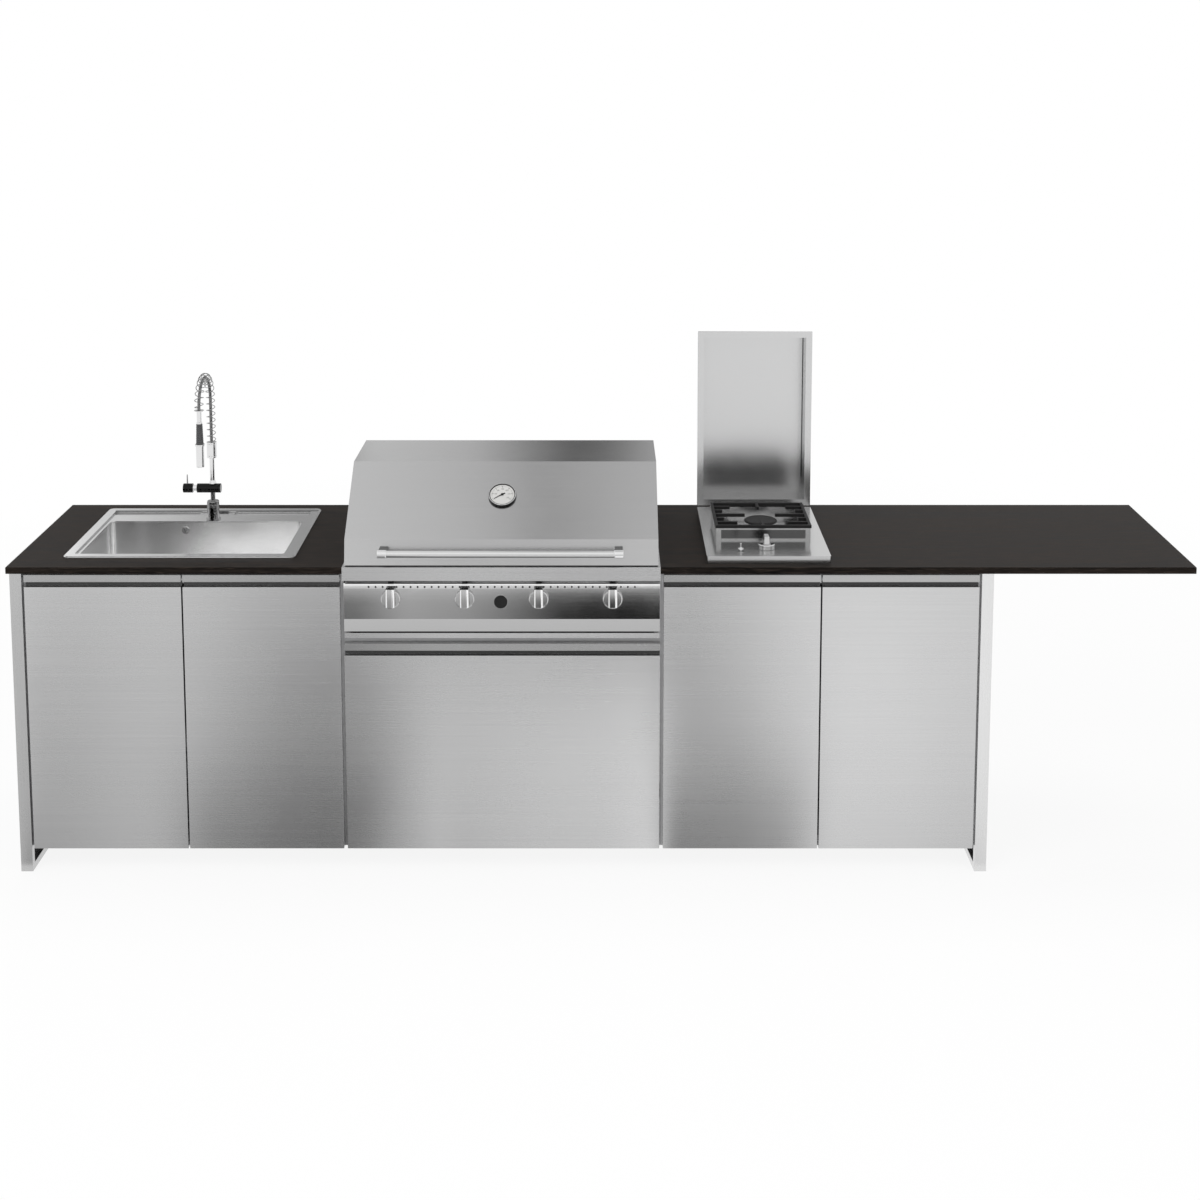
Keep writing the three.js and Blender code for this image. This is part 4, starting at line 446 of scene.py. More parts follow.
def lathe(profile, origin, axis=(0, 0, 1), sides=64):
    axis = Vector(axis).normalized()
    side = axis.orthogonal().normalized()
    other = axis.cross(side)
    points, rings, faces = [], [], []
    for radius, height in profile:
        centre = origin + axis * height * mm
        if radius < 1e-6:
            rings.append([len(points)] * sides)
            points.append(centre)
            continue
        rings.append(list(range(len(points), len(points) + sides)))
        for k in range(sides):
            angle = 2 * math.pi * k / sides
            points.append(centre + (side * math.cos(angle) + other * math.sin(angle)) * radius * mm)
    for lower, upper in zip(rings, rings[1:]):
        for k in range(sides):
            n = (k + 1) % sides
            face = list(dict.fromkeys((lower[k], lower[n], upper[n], upper[k])))
            if len(face) > 2:
                faces.append(face)
    return points, faces


def wrapFaces(rings, count):
    # four-sided faces between rings of points, then a face that closes each end
    faces = []
    for ring in range(rings - 1):
        low, high = ring * count, (ring + 1) * count
        for k in range(count):
            n = (k + 1) % count
            faces.append((low + k, low + n, high + n, high + k))
    return faces + [tuple(range(count)), tuple(range((rings - 1) * count, rings * count))]


def tube(path, radius, sides=16):
    points = []
    normal = Vector((1, 0, 0))
    for i, point in enumerate(path):
        along = (path[min(i + 1, len(path) - 1)] - path[max(i - 1, 0)]).normalized()
        normal = (normal - along * normal.dot(along)).normalized()
        other = along.cross(normal)
        for k in range(sides):
            angle = 2 * math.pi * k / sides
            points.append(point + (normal * math.cos(angle) + other * math.sin(angle)) * radius * mm)
    return points, wrapFaces(len(path), sides)


# sheet-metal pieces keep their built shape and get eased edges

# merging the flat faces of these would close their slots
slottedPieces = ("cooking_grate_left", "cooking_grate_right")


def easeEdges(name, finish, ease, angle=32, reshape=None):
    source = nodes[name].data
    shape = bmesh.new()
    corners = [shape.verts.new(reshape(vertex.co) if reshape else vertex.co) for vertex in source.vertices]
    for face in source.polygons:
        try:
            shape.faces.new([corners[index] for index in face.vertices])
        except ValueError:
            continue
    bmesh.ops.remove_doubles(shape, verts=shape.verts, dist=0.00002)
    if name not in slottedPieces:
        flat = math.radians(0.4)
        bmesh.ops.dissolve_limit(shape, angle_limit=flat, verts=shape.verts, edges=shape.edges)
    mesh = bpy.data.meshes.new(name + "Shell")
    shape.to_mesh(mesh)
    shape.free()
    piece = finishPiece(
        name + "Shell", mesh, bodyOf[name], finish, (name,), sharp=angle, flat=False)
    bevel = piece.modifiers.new("easedEdges", "BEVEL")
    bevel.width = ease * mm
    bevel.segments = 2
    bevel.limit_method = "ANGLE"
    bevel.angle_limit = math.radians(angle)
    bevel.miter_outer = "MITER_ARC"
    bevel.use_clamp_overlap = True
    keepFlat(piece, False)
    return piece


easedPieces = {
    "worktop": (laminate, 0.9),
    "left_end_frame": (steelLegPaintedShade, 0.8), "right_end_frame": (steelLegPaintedLight, 0.8),
    "left_end_panel": (steelUpright, 0.6), "right_end_panel": (steelUpright, 0.6),
    "overhang_bearer": (sheetSteel, 0.6),
    "sink_cabinet": (sheetSteel, 0.3), "grill_cabinet": (sheetSteel, 0.3), "hob_cabinet": (sheetSteel, 0.3),
    "sink_shelf": (sheetSteel, 0.4), "hob_shelf": (sheetSteel, 0.4),
    "front_foot_rail": (darkSteel, 0.5), "rear_foot_rail": (darkSteel, 0.5),
    "sink_door_left": (steelDoor, 0.7), "sink_door_right": (steelDoor, 0.7),
    "hob_door_left": (steelDoor, 0.7), "hob_door_right": (steelDoor, 0.7),
    "drawer_front": (steelDrawer, 0.7), "drawer_box": (sheetSteel, 0.4),
    "drawer_runner_left": (darkSteel, 0.4), "drawer_runner_right": (darkSteel, 0.4),
    "grill_firebox": (steelAcross, 0.4),
    "gas_manifold": (darkSteel, 0.4),
    "cooking_grate_left": (grateIron, 0.9), "cooking_grate_right": (grateIron, 0.9),
    "warming_rack": (brightChrome, 0.5), "drip_tray": (steelAcross, 0.5), "hood": (steelHood, 0.6),
    "sink_bowl": (sinkSteel, 1.0), "sink_strainer": (brightChrome, 0.3), "waste_trap": (greyPlastic, 0.6),
    "hob_plate": (steelHob, 0.6), "hob_lid": (lidSteel, 0.6), "lid_hinge_pin": (brightChrome, 0.2),
    "hob_grate": (ironCast, 1.0),
}
for name, (finish, ease) in easedPieces.items():
    easeEdges(name, finish, ease)
for index in (1, 2, 3, 4):
    easeEdges(f"burner_{index}", sheetSteel, 0.4)

panelStyle = {"bottom": 713.9, "band": 3, "lean": 2.3, "deepest": 27}


def leanBand(spot):
    # the band along the panel's foot leans out a little, so it catches more light than the face above it
    low = place(0, panelStyle["deepest"], panelStyle["bottom"] + panelStyle["band"])
    if spot.z < low.z and spot.y < low.y:
        return spot - Vector((0, panelStyle["lean"] * mm, 0))
    return spot


easeEdges("control_panel", steelPanel, 0.3, reshape=leanBand)
print("sheet and cast pieces made")

airGap = 0.3  # between neighbouring pieces, in millimetres


# grill knobs: turned skirt with a bar grip that has rounded upright edges

knobStyle = {
    "panelFace": 24, "radius": 28, "skirt": 10, "skirtEdge": 2.5, "skirtEase": 1.2, "gripWidth": 26,
    "gripTop": 34, "gripFoot": -20, "gripRise": 18, "edge": 6, "endEase": 1.6, "endStep": 0.5,
    "endInset": 0.6, "shaftRadius": 4, "shaftEnd": 16,
}


def roundedBar(halfWidth, halfLength, radius, steps=7):
    points = []
    for cx, cz, start in ((1, 1, 0), (-1, 1, 90), (-1, -1, 180), (1, -1, 270)):
        for step in range(steps + 1):
            angle = math.radians(start + 90 * step / steps)
            points.append((
                cx * (halfWidth - radius) + radius * math.cos(angle),
                cz * (halfLength - radius) + radius * math.sin(angle)))
    return points


def barGrip(base, style):
    half = style["gripWidth"] / 2
    edge = style["edge"]
    outline = [(-half, -2)]
    for corner, start in ((-1, 180), (1, 90)):
        for step in range(9):
            angle = math.radians(start - 90 * step / 8)
            outline.append((corner * (half - edge) + edge * math.cos(angle),
                            style["gripRise"] - edge + edge * math.sin(angle)))
    outline.append((half, -2))
    points = []
    foot, top = style["gripFoot"], style["gripTop"]
    endEase, endStep, endInset = style["endEase"], style["endStep"], style["endInset"]
    levels = [(foot, endEase), (foot + endStep, endInset), (foot + endEase, 0),
              (top - endEase, 0), (top - endStep, endInset), (top, endEase)]
    for height, inset in levels:
        for x, rise in outline:
            share = 1 - inset / half
            points.append(base + Vector((x * share, -(rise - inset * (rise > 0)), height)) * mm)
    return points, wrapFaces(len(levels), len(outline))


def grillKnob(index):
    name = f"knob_{index}"
    low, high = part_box(name)
    style = knobStyle
    front = place(0, style["panelFace"] - airGap, 0).y
    centre = Vector(((low.x + high.x) / 2, front, (low.z + high.z) / 2))
    wide, deep, edge = style["radius"], style["skirt"], style["skirtEdge"]
    skirt = soften([
        (0, 0), (wide, 0), (wide, deep - edge), (wide - edge, deep), (0, deep)], style["skirtEase"])
    grip = barGrip(centre + Vector((0, -style["skirt"] * mm, 0)), style)
    thick, end = style["shaftRadius"], style["shaftEnd"]
    shaft = lathe([(0, 0), (thick, 0), (thick, end), (0, end)], centre, (0, 1, 0), 24)
    body = f"grill_knob_{index}"
    skirtMesh = meshFrom(name + "skirt", [lathe(skirt, centre, (0, -1, 0))])
    finishPiece(f"grillKnobSkirt{index}", skirtMesh, body, steelPolished)
    gripMesh = meshFrom(name, [grip, shaft])
    finishPiece(f"grillKnob{index}", gripMesh, body, steelKnob, (name,), sharp=35)


for index in (1, 2, 3, 4):
    grillKnob(index)

badgeStyle = {"radius": 19, "rise": 0.5, "x": 1383, "y": 23.2, "z": 800}
badge = lathe(soften([(0, 0), (badgeStyle["radius"], 0), (badgeStyle["radius"], badgeStyle["rise"]),
                      (0, badgeStyle["rise"])], 0.3),
              place(badgeStyle["x"], badgeStyle["y"], badgeStyle["z"]), (0, -1, 0))
finishPiece("blankBadge", meshFrom("blankBadge", [badge]), "island", printBlack)
print("knobs and blank badge made")


# hood handle: round bar between two collars on arms

handleStyle = {
    "radius": 9.5, "y": -31, "z": 955, "left": 1044.3, "right": 1727.7, "collarRadius": 11.5, "collar": 26,
    "arm": 22, "armLow": -5, "armHigh": 7, "armEnd": 15.6, "inset": 2, "ease": 1.5, "collarEdge": 2.5,
    "collarStep": 0.8, "collarEase": 1.2,
}
barRadius = handleStyle["radius"]
barLong = handleStyle["right"] - handleStyle["left"] - 2 * handleStyle["inset"]
barProfile = soften([(0, 0), (barRadius, 0), (barRadius, barLong), (0, barLong)], handleStyle["ease"])
barStart = place(handleStyle["left"] + handleStyle["inset"], handleStyle["y"], handleStyle["z"])
bar = lathe(barProfile, barStart, (1, 0, 0), 48)
finishPiece("hoodHandleBar", meshFrom("hoodHandleBar", [bar]), "grill_hood", barSteel,
            ("handle_bar",))


def handleBracket(name, side):
    style = handleStyle
    outer = style["left"] if side < 0 else style["right"]
    origin = place(outer, style["y"], style["z"])
    wide, deep = style["collarRadius"], style["collar"]
    edge, step = style["collarEdge"], style["collarStep"]
    profile = [(0, 0), (wide, 0), (wide, deep - edge), (wide - step, deep), (0, deep)]
    collar = lathe(soften(profile, style["collarEase"]), origin, (-side, 0, 0), 48)
    near, far = style["inset"], style["arm"] + style["inset"]
    low, high = style["armLow"], style["armHigh"]
    section = ((near, low), (far, low), (far, high), (near, high))
    points = [origin + Vector((-side * x, along, z)) * mm
              for along in (0, style["armEnd"] - style["y"]) for x, z in section]
    faces = [(0, 1, 2, 3), (4, 5, 6, 7)] + [(k, (k + 1) % 4, 4 + (k + 1) % 4, 4 + k) for k in range(4)]
    finishPiece(name + "Collar", meshFrom(name, [collar]), "grill_hood", brightChrome, (name,))
    finishPiece(name + "Arm", meshFrom(name, [(points, faces)]), "grill_hood", steelPaintedDarkReflection)


handleBracket("handle_bracket_left", -1)
handleBracket("handle_bracket_right", 1)


# thermometer in the hood

gaugeStyle = {
    "x": 1383, "foot": (24, 981), "head": (244, 1149), "share": 0.5454, "radius": 40, "depth": 9.5,
    "dial": 35, "recess": 3.4, "ticks": 31, "sweep": 250, "needle": 27, "needleAngle": 212,
    "stem": 6, "stemLow": -8, "seat": 36, "window": 35.3, "edge": 2, "caseEase": 0.7,
}
slopeFoot, slopeHead = Vector(gaugeStyle["foot"]), Vector(gaugeStyle["head"])
slope = (slopeHead - slopeFoot).normalized()
gaugeAcross = Vector((1, 0, 0))
gaugeUp = Vector((0, slope.x, slope.y))
gaugeOut = gaugeAcross.cross(gaugeUp)
gaugeSpot = place(gaugeStyle["x"], *slopeFoot.lerp(slopeHead, gaugeStyle["share"]))
rim = gaugeStyle["depth"]
inner = rim - gaugeStyle["recess"]
stem, stemLow, seat = gaugeStyle["stem"], gaugeStyle["stemLow"], gaugeStyle["seat"]
outer, window, edge = gaugeStyle["radius"], gaugeStyle["window"], gaugeStyle["edge"]
caseProfile = soften([
    (0, stemLow), (stem, stemLow), (stem, airGap), (seat, airGap), (outer, edge), (outer, rim - edge),
    (outer - edge, rim), (window, rim), (window, inner), (0, inner)], gaugeStyle["caseEase"])
finishPiece("gaugeCase", meshFrom("gaugeCase", [lathe(caseProfile, gaugeSpot, gaugeOut)]), "grill_hood",
            chromePaintedDarkReflection, ("thermometer_case",))
bezel = [(36.5, rim - 1.5), (38.6, rim - 1.5), (38.8, rim - 0.6), (38, rim), (36.9, rim), (36.2, rim - 0.8),
         (36.5, rim - 1.5)]
finishPiece("gaugeBezel", meshFrom("gaugeBezel", [lathe(bezel, gaugeSpot, gaugeOut)]), "grill_hood",
            brightChrome)
face = inner + 0.3
dialProfile = soften([
    (0, face), (gaugeStyle["dial"], face), (gaugeStyle["dial"], face + 1), (0, face + 1)], 0.3)
finishPiece("gaugeDial", meshFrom("gaugeDial", [lathe(dialProfile, gaugeSpot, gaugeOut)]), "grill_hood",
            dialWhite, ("thermometer_dial",))


def dialPoint(radius, angle, height):
    turn = math.radians(angle)
    return gaugeSpot + (gaugeAcross * radius * math.cos(turn) + gaugeUp * radius * math.sin(turn)
                        + gaugeOut * height) * mm


def dialMark(inside, outside, angle, width, height):
    half = width / 2
    spots = []
    for level in (face + 1, height):
        for radius, side in ((inside, -1), (outside, -1), (outside, 1), (inside, 1)):
            spots.append(dialPoint(radius, angle + side * math.degrees(half / radius), level))
    return spots, [(0, 1, 2, 3), (4, 5, 6, 7), (0, 1, 5, 4), (1, 2, 6, 5), (2, 3, 7, 6), (3, 0, 4, 7)]


marks = []
for tick in range(gaugeStyle["ticks"]):
    angle = 270 - (360 - gaugeStyle["sweep"]) / 2 - gaugeStyle["sweep"] * tick / (gaugeStyle["ticks"] - 1)
    long = tick % 5 == 0
    marks.append(dialMark(25 if long else 28, 31, angle, 1.3 if long else 0.6, face + 1.08))
printMesh = meshFrom("gaugeScale", marks)
for step in range(7):
    words = bpy.data.curves.new("number", "FONT")
    words.body = str(50 + 50 * step)
    words.size = 5.4 * mm
    words.extrude = 0.04 * mm
    words.align_x = "CENTER"
    words.align_y = "CENTER"
    writing = bpy.data.objects.new("number", words)
    angle = 270 - (360 - gaugeStyle["sweep"]) / 2 - gaugeStyle["sweep"] * step / 6
    basis = Matrix((gaugeAcross, gaugeUp, gaugeOut)).transposed().to_4x4()
    writing.matrix_world = Matrix.Translation(dialPoint(19.5, angle, face + 1.04)) @ basis
    scene.collection.objects.link(writing)
    bpy.context.view_layer.update()
    shown = writing.evaluated_get(bpy.context.evaluated_depsgraph_get())
    lettering = bpy.data.meshes.new_from_object(shown)
    lettering.transform(writing.matrix_world)
    shape = bmesh.new()
    shape.from_mesh(printMesh)
    shape.from_mesh(lettering)
    shape.to_mesh(printMesh)
    shape.free()
    bpy.data.objects.remove(writing)
finishPiece("gaugeScale", printMesh, "grill_hood", printBlack)

low = face + 1.3
hub = lathe(soften([(0, low), (4, low), (4, low + 2), (0, low + 2)], 0.5), gaugeSpot, gaugeOut, 32)
turn = gaugeStyle["needleAngle"]
tip, flank, tail = gaugeStyle["needle"], 1.5, 9


def needleSpot(along, side, height):
    angle = math.radians(turn)
    x = along * math.cos(angle) - side * math.sin(angle)
    y = along * math.sin(angle) + side * math.cos(angle)
    return gaugeSpot + (gaugeAcross * x + gaugeUp * y + gaugeOut * height) * mm


needlePoints = [needleSpot(a, s, h) for h in (low + 0.3, low + 1.2) for a, s in (
    (-tail, -flank), (0, -flank), (tip, -0.25), (tip, 0.25), (0, flank), (-tail, flank))]
needleFaces = [tuple(range(6)), tuple(range(6, 12))]
needleFaces += [(k, (k + 1) % 6, 6 + (k + 1) % 6, 6 + k) for k in range(6)]
finishPiece("gaugeNeedle", meshFrom("gaugeNeedle", [hub, (needlePoints, needleFaces)]), "gauge_needle",
            printBlack, ("thermometer_needle",))
print("handle and thermometer made")


# sprung tap

tapStyle = {
    "x": 480, "y": 482, "ledge": 909, "baseRadius": 18.5, "baseTop": 967, "flange": 22, "neck": 7,
    "barZ": 1006, "barRadius": 14, "barLeft": 433, "barRight": 505, "ringRadius": 9, "ringLeft": 420,
    "leverLeft": 391, "leverPin": 403, "leverTop": 1048, "riser": 7.5, "sleeve": 15, "sleeveLow": 1102,
    "sleeveHigh": 1150, "arch": 1286, "archRadius": 78, "spring": 12.6, "wire": 2.4, "pitch": 19.6,
    "hose": 4.5, "frontDrop": 3, "shank": 14, "shankLow": -26, "nut": 20, "nutLow": -16, "nutHigh": -6,
    "flangeDeep": 3,
}
tapX, tapY = tapStyle["x"], tapStyle["y"]


def turnedPiece(name, profile, origin, axis, body, finish, replaced=(), ease=0.8, sides=56):
    mesh = meshFrom(name, [lathe(soften(profile, ease), origin, axis, sides)])
    return finishPiece(name, mesh, body, finish, replaced)


def groovedRod(radius, length, groove):
    # a rod with a fine groove that starts this far from its end
    start = length - groove
    return [(0, 0), (radius, 0), (radius, start), (radius - 0.4, start + 0.3), (radius - 0.4, start + 0.7),
            (radius, start + 1), (radius, length), (0, length)]


def tapColumn():
    style = tapStyle
    top = style["baseTop"] - style["ledge"]
    bar = style["barZ"] - style["ledge"]
    shank, nut, flange = style["shank"], style["nut"], style["flange"]
    low, nutLow, nutHigh = style["shankLow"], style["nutLow"], style["nutHigh"]
    wide, neck, lift = style["baseRadius"], style["neck"], airGap + style["flangeDeep"]
    turnedPiece("tapColumn", [
        (0, low), (shank, low), (shank, nutLow), (nut, nutLow), (nut, nutHigh), (shank, nutHigh),
        (shank, airGap), (flange, airGap), (flange, lift), (wide, lift), (wide, top - 12),
        (wide - 0.5, top - 11.6), (wide - 0.5, top - 11.2), (wide, top - 10.8), (wide, top - 1.5),
        (wide - 1.5, top), (neck, top), (neck, bar), (0, bar)],
        place(tapX, tapY, style["ledge"]), (0, 0, 1), "island", chromePaintedGreyReflection, ("tap_body",))
    crossBar = groovedRod(style["barRadius"], style["barRight"] - style["barLeft"], 9)
    turnedPiece("tapCrossBar", crossBar, place(style["barLeft"], tapY, style["barZ"]), (1, 0, 0), "island",
                chromePaintedDarkReflection, ease=1)
    ring = style["barLeft"] - style["ringLeft"] - airGap
    turnedPiece("tapCrossRing", [
        (0, -4), (style["ringRadius"], -4), (style["ringRadius"], ring), (0, ring)],
        place(style["barLeft"], tapY, style["barZ"]), (-1, 0, 0), "island", brightChrome)


def tapHandle():
    style = tapStyle
    drum = groovedRod(style["barRadius"], style["ringLeft"] - style["leverLeft"], 4)
    turnedPiece("tapLeverDrum", drum, place(style["leverLeft"], tapY, style["barZ"]), (1, 0, 0),
                bodyOf["tap_lever"], chromePaintedDarkReflection, ("tap_lever",), ease=1)
    rise = style["leverTop"] - style["barZ"]
    turnedPiece("tapLeverPin", [(0, 8), (2.5, 8), (1.5, rise), (0, rise)],
                place(style["leverPin"], tapY, style["barZ"]), (0, 0, 1), bodyOf["tap_lever"], chromePaintedGreyReflection,
                ease=0.7, sides=24)


def tapRiser():
    style = tapStyle
    base = style["barZ"] + style["barRadius"] + airGap
    low, high = style["sleeveLow"] - base, style["sleeveHigh"] - base
    wide, thin = style["sleeve"], style["sleeve"] - 0.6
    turnedPiece("tapRiserPipe", [
        (0, 0), (11, 0), (11, 1.5), (style["riser"], 11), (style["riser"], low), (wide, low), (wide, low + 5),
        (thin, low + 5.4), (thin, low + 6.4), (wide, low + 6.8), (wide, high - 6), (thin, high - 5.6),
        (thin, high - 4.6), (wide, high - 4.2), (wide, high), (0, high)],
        place(tapX, tapY, base), (0, 0, 1), "tap_spout", brightChrome, ("tap_riser",),
        ease=0.5)


sprayStyle = {
    "top": 1282.7, "seat": 14.5, "seatDeep": 2, "ferrule": 7, "ferruleLong": 41, "gripTop": 9, "gripLow": 11,
    "gripLong": 61, "ribs": 9, "ring": 14.5, "ringDeep": 5, "head": 12, "headLong": 64, "hollow": 4,
}


def sprayHandle():
    style = sprayStyle
    origin = place(tapX, tapY - 2 * tapStyle["archRadius"], style["top"])
    down = (0, 0, -1)
    gripStart = style["ferruleLong"]
    gripEnd = gripStart + style["gripLong"]
    ringEnd = gripEnd + style["ringDeep"]
    end = ringEnd + style["headLong"]
    seat, neck, band = style["seat"], style["ferrule"], style["ferrule"] + 1.4
    turnedPiece("sprayFerrule", [
        (0, 0), (seat, 0), (seat, style["seatDeep"]), (neck, style["seatDeep"] + 1), (neck, gripStart - 6),
        (band, gripStart - 5), (band, gripStart), (0, gripStart)],
        origin, down, "tap_spout", brightChrome, ease=0.5)
    grip = [(0, gripStart), (style["gripTop"] - 0.8, gripStart)]
    for rib in range(style["ribs"]):
        along = (rib + 0.5) / style["ribs"]
        radius = style["gripTop"] + (style["gripLow"] - style["gripTop"]) * along
        middle = gripStart + style["gripLong"] * along
        half = style["gripLong"] / style["ribs"] / 2
        grip += [(radius - 0.7, middle - half * 0.95), (radius, middle - half * 0.75),
                 (radius, middle + half * 0.75), (radius - 0.7, middle + half * 0.95)]
    grip += [(style["gripLow"] - 0.5, gripEnd), (0, gripEnd)]
    turnedPiece("sprayGrip", grip, origin, down, "tap_spout", gripGrey, ease=0.4)
    turnedPiece("sprayHead", [
        (0, gripEnd), (style["ring"], gripEnd), (style["ring"], ringEnd), (style["head"], ringEnd),
        (style["head"], end - 1.5), (style["head"] - 1.5, end), (style["head"] - 3, end),
        (style["head"] - 3, end - style["hollow"]), (0, end - style["hollow"])],
        origin, down, "tap_spout", brightChrome, ("spray_handle",), ease=0.6)


tapColumn()
tapHandle()
tapRiser()
sprayHandle()
easeEdges("overflow_cover", brightChrome, 0.4)


def spoutPath(drop):
    start = tapStyle["sleeveHigh"] + airGap
    rise = tapStyle["arch"] - start
    bend = math.pi * tapStyle["archRadius"]
    total = rise + bend + drop

    def spot(along):
        if along <= rise:
            return place(tapX, tapY, start + along), Vector((0, -1, 0))
        if along <= rise + bend:
            angle = (along - rise) / tapStyle["archRadius"]
            reach = tapStyle["archRadius"]
            centre = place(tapX, tapY - reach, tapStyle["arch"])
            return (centre + Vector((0, math.cos(angle), math.sin(angle))) * reach * mm,
                    Vector((0, -math.cos(angle), -math.sin(angle))))
        down = along - rise - bend
        return place(tapX, tapY - 2 * tapStyle["archRadius"], tapStyle["arch"] - down), Vector((0, 1, 0))
    return spot, total


def springWire():
    spot, total = spoutPath(tapStyle["frontDrop"])
    lead = tapStyle["wire"]
    turns = round((total - 2 * lead) / tapStyle["pitch"])
    perTurn = 24
    steps = turns * perTurn
    path = []

    def coil(along, angle):
        centre, side = spot(along)
        around = side * math.cos(angle) + Vector((1, 0, 0)) * math.sin(angle)
        return centre + around * tapStyle["spring"] * mm
    path.append(coil(0, 0))
    for step in range(steps + 1):
        path.append(coil(lead + (total - 2 * lead) * step / steps, 2 * math.pi * turns * step / steps))
    path.append(coil(total, 2 * math.pi * turns))
    return path


def hosePath():
    spot, total = spoutPath(tapStyle["frontDrop"])
    return [spot(total * step / 96)[0] for step in range(97)]


wireMesh = meshFrom("tapSpringWire", [tube(springWire(), tapStyle["wire"] / 2, 10)])
finishPiece("tapSpringWire", wireMesh, "tap_spout", chromePaintedGreyReflection, ("tap_spring",))
hoseMesh = meshFrom("tapHoseInner", [tube(hosePath(), tapStyle["hose"], 20)])
finishPiece("tapHoseInner", hoseMesh, "tap_spout", hoseSteel, ("tap_hose",))
print("tap made")


# hob burner, knob and igniter

hobStyle = {
    "burner": (2135.5, 285), "floor": 943.3, "top": 964.7, "cup": 36, "cap": 48, "capDeep": 7, "ports": 40,
    "knob": (2137, 111), "plate": 928.6, "skirt": 25, "skirtHigh": 15, "gripLow": 22, "gripTop": 16,
    "gripDeep": 34, "knobTop": 967, "shaft": 4, "shaftLong": 30, "button": (2063, 94),
}


def hobBurner():
    style = hobStyle
    spot = place(*style["burner"], style["floor"])
    rise = style["top"] - style["floor"]
    capLow = rise - style["capDeep"]
    turnedPiece("hobBurnerCap", [
        (0, capLow), (style["cap"] - 2, capLow), (style["cap"], capLow + 1), (style["cap"], rise - 2.6),
        (style["cap"] - 3.5, rise - 0.4), (style["cap"] - 12, rise - 0.4), (style["cap"] - 13, rise - 1),
        (0, rise - 1)], spot, (0, 0, 1), "island", ironCast, ("hob_burner",), sides=80)
    # crown with flame ports between its teeth
    sides = style["ports"] * 4
    points = []
    for height, grow in ((0, 0), (capLow * 0.55, 0), (capLow * 0.6, 1), (capLow, 1)):
        for k in range(sides):
            tooth = style["cup"] - (2.4 if grow and k % 4 < 2 else 0)
            angle = 2 * math.pi * k / sides
            points.append(spot + Vector((math.cos(angle) * tooth, math.sin(angle) * tooth, height)) * mm)
    crownMesh = meshFrom("hobBurnerCrown", [(points, wrapFaces(len(points) // sides, sides))])
    finishPiece("hobBurnerCrown", crownMesh, "island", sheetSteel)


def hobKnob():
    style = hobStyle
    base = place(*style["knob"], style["plate"] + airGap)
    shaft, end = style["shaft"], -style["shaftLong"]
    wide, rise = style["skirt"], style["skirtHigh"]
    skirt = lathe(soften([
        (0, end), (shaft, end), (shaft, 0), (wide, 0), (wide, rise - 2), (wide - 2, rise), (0, rise)], 0.9),
        base, (0, 0, 1))
    low, high = rise - 1, style["knobTop"] - style["plate"] - airGap
    points = []
    levels = [(0, 0), (0.3, 0), (0.6, 0), (0.86, 0), (0.95, 0.8), (1, 2.4)]
    for share, inset in levels:
        half = (style["gripLow"] + (style["gripTop"] - style["gripLow"]) * share) / 2 - inset
        deep = style["gripDeep"] / 2 - inset
        for x, y in roundedBar(half, deep, half * 0.55):
            points.append(base + Vector((x, y, low + (high - low) * share)) * mm)
    count = len(points) // len(levels)
    knobMesh = meshFrom("hobKnobShell", [skirt, (points, wrapFaces(len(levels), count))])
    finishPiece("hobKnobShell", knobMesh, bodyOf["hob_knob"], steelKnob, ("hob_knob",),
                sharp=30)


def ignitionButton():
    spot = place(*hobStyle["button"], hobStyle["plate"] + airGap)
    turnedPiece("hobIgniter", [
        (0, -15), (4, -15), (4, 3.3), (9, 3.3), (9, 4.6), (8, 6.3), (3.4, 6.3), (3.4, 7), (2, 7.6),
        (2, 20), (0, 20)], spot, (0, 0, 1), bodyOf["hob_ignition_button"], brightChrome,
        ("hob_ignition_button",), ease=0.5, sides=36)


hobBurner()
hobKnob()
ignitionButton()
print("hob pieces made")


# floor, backdrop and light

def floorFinish():
    finish = Finish("paleFloor", {"Roughness": 0.7, "Specular IOR Level": 0.2})
    cloud = finish.grain((0.7, 0.7, 0.7), 3, 0.5)
    finish.dress(Base_Color=finish.tint(cloud, (0.86, 0.86, 0.86), (0.9, 0.9, 0.9)))
    glow = finish.tree.nodes.new("ShaderNodeEmission")
    rays = finish.node("ShaderNodeLightPath", out="Is Camera Ray")
    glossy = finish.node("ShaderNodeLightPath", out="Is Glossy Ray")
    through = finish.node("ShaderNodeLightPath", out="Is Transmission Ray")
    spot = finish.node("ShaderNodeTexCoord", out="Object")
    away = finish.node("ShaderNodeVectorMath", {"operation": "LENGTH"}, {0: spot}, out="Value")
    far = finish.node("ShaderNodeMapRange", None, {
        "Value": away, "From Min": 2.0, "From Max": 4.5, "To Min": 0.88})
    seen = (rays + glossy + through) * far
    mix = finish.tree.nodes.new("ShaderNodeMixShader")
    finish.feed(mix.inputs[0], seen)
    finish.tree.links.new(finish.shader.outputs[0], mix.inputs[1])
    finish.tree.links.new(glow.outputs[0], mix.inputs[2])
    finish.tree.links.new(mix.outputs[0], finish.tree.nodes["Material Output"].inputs["Surface"])
    return finish.material


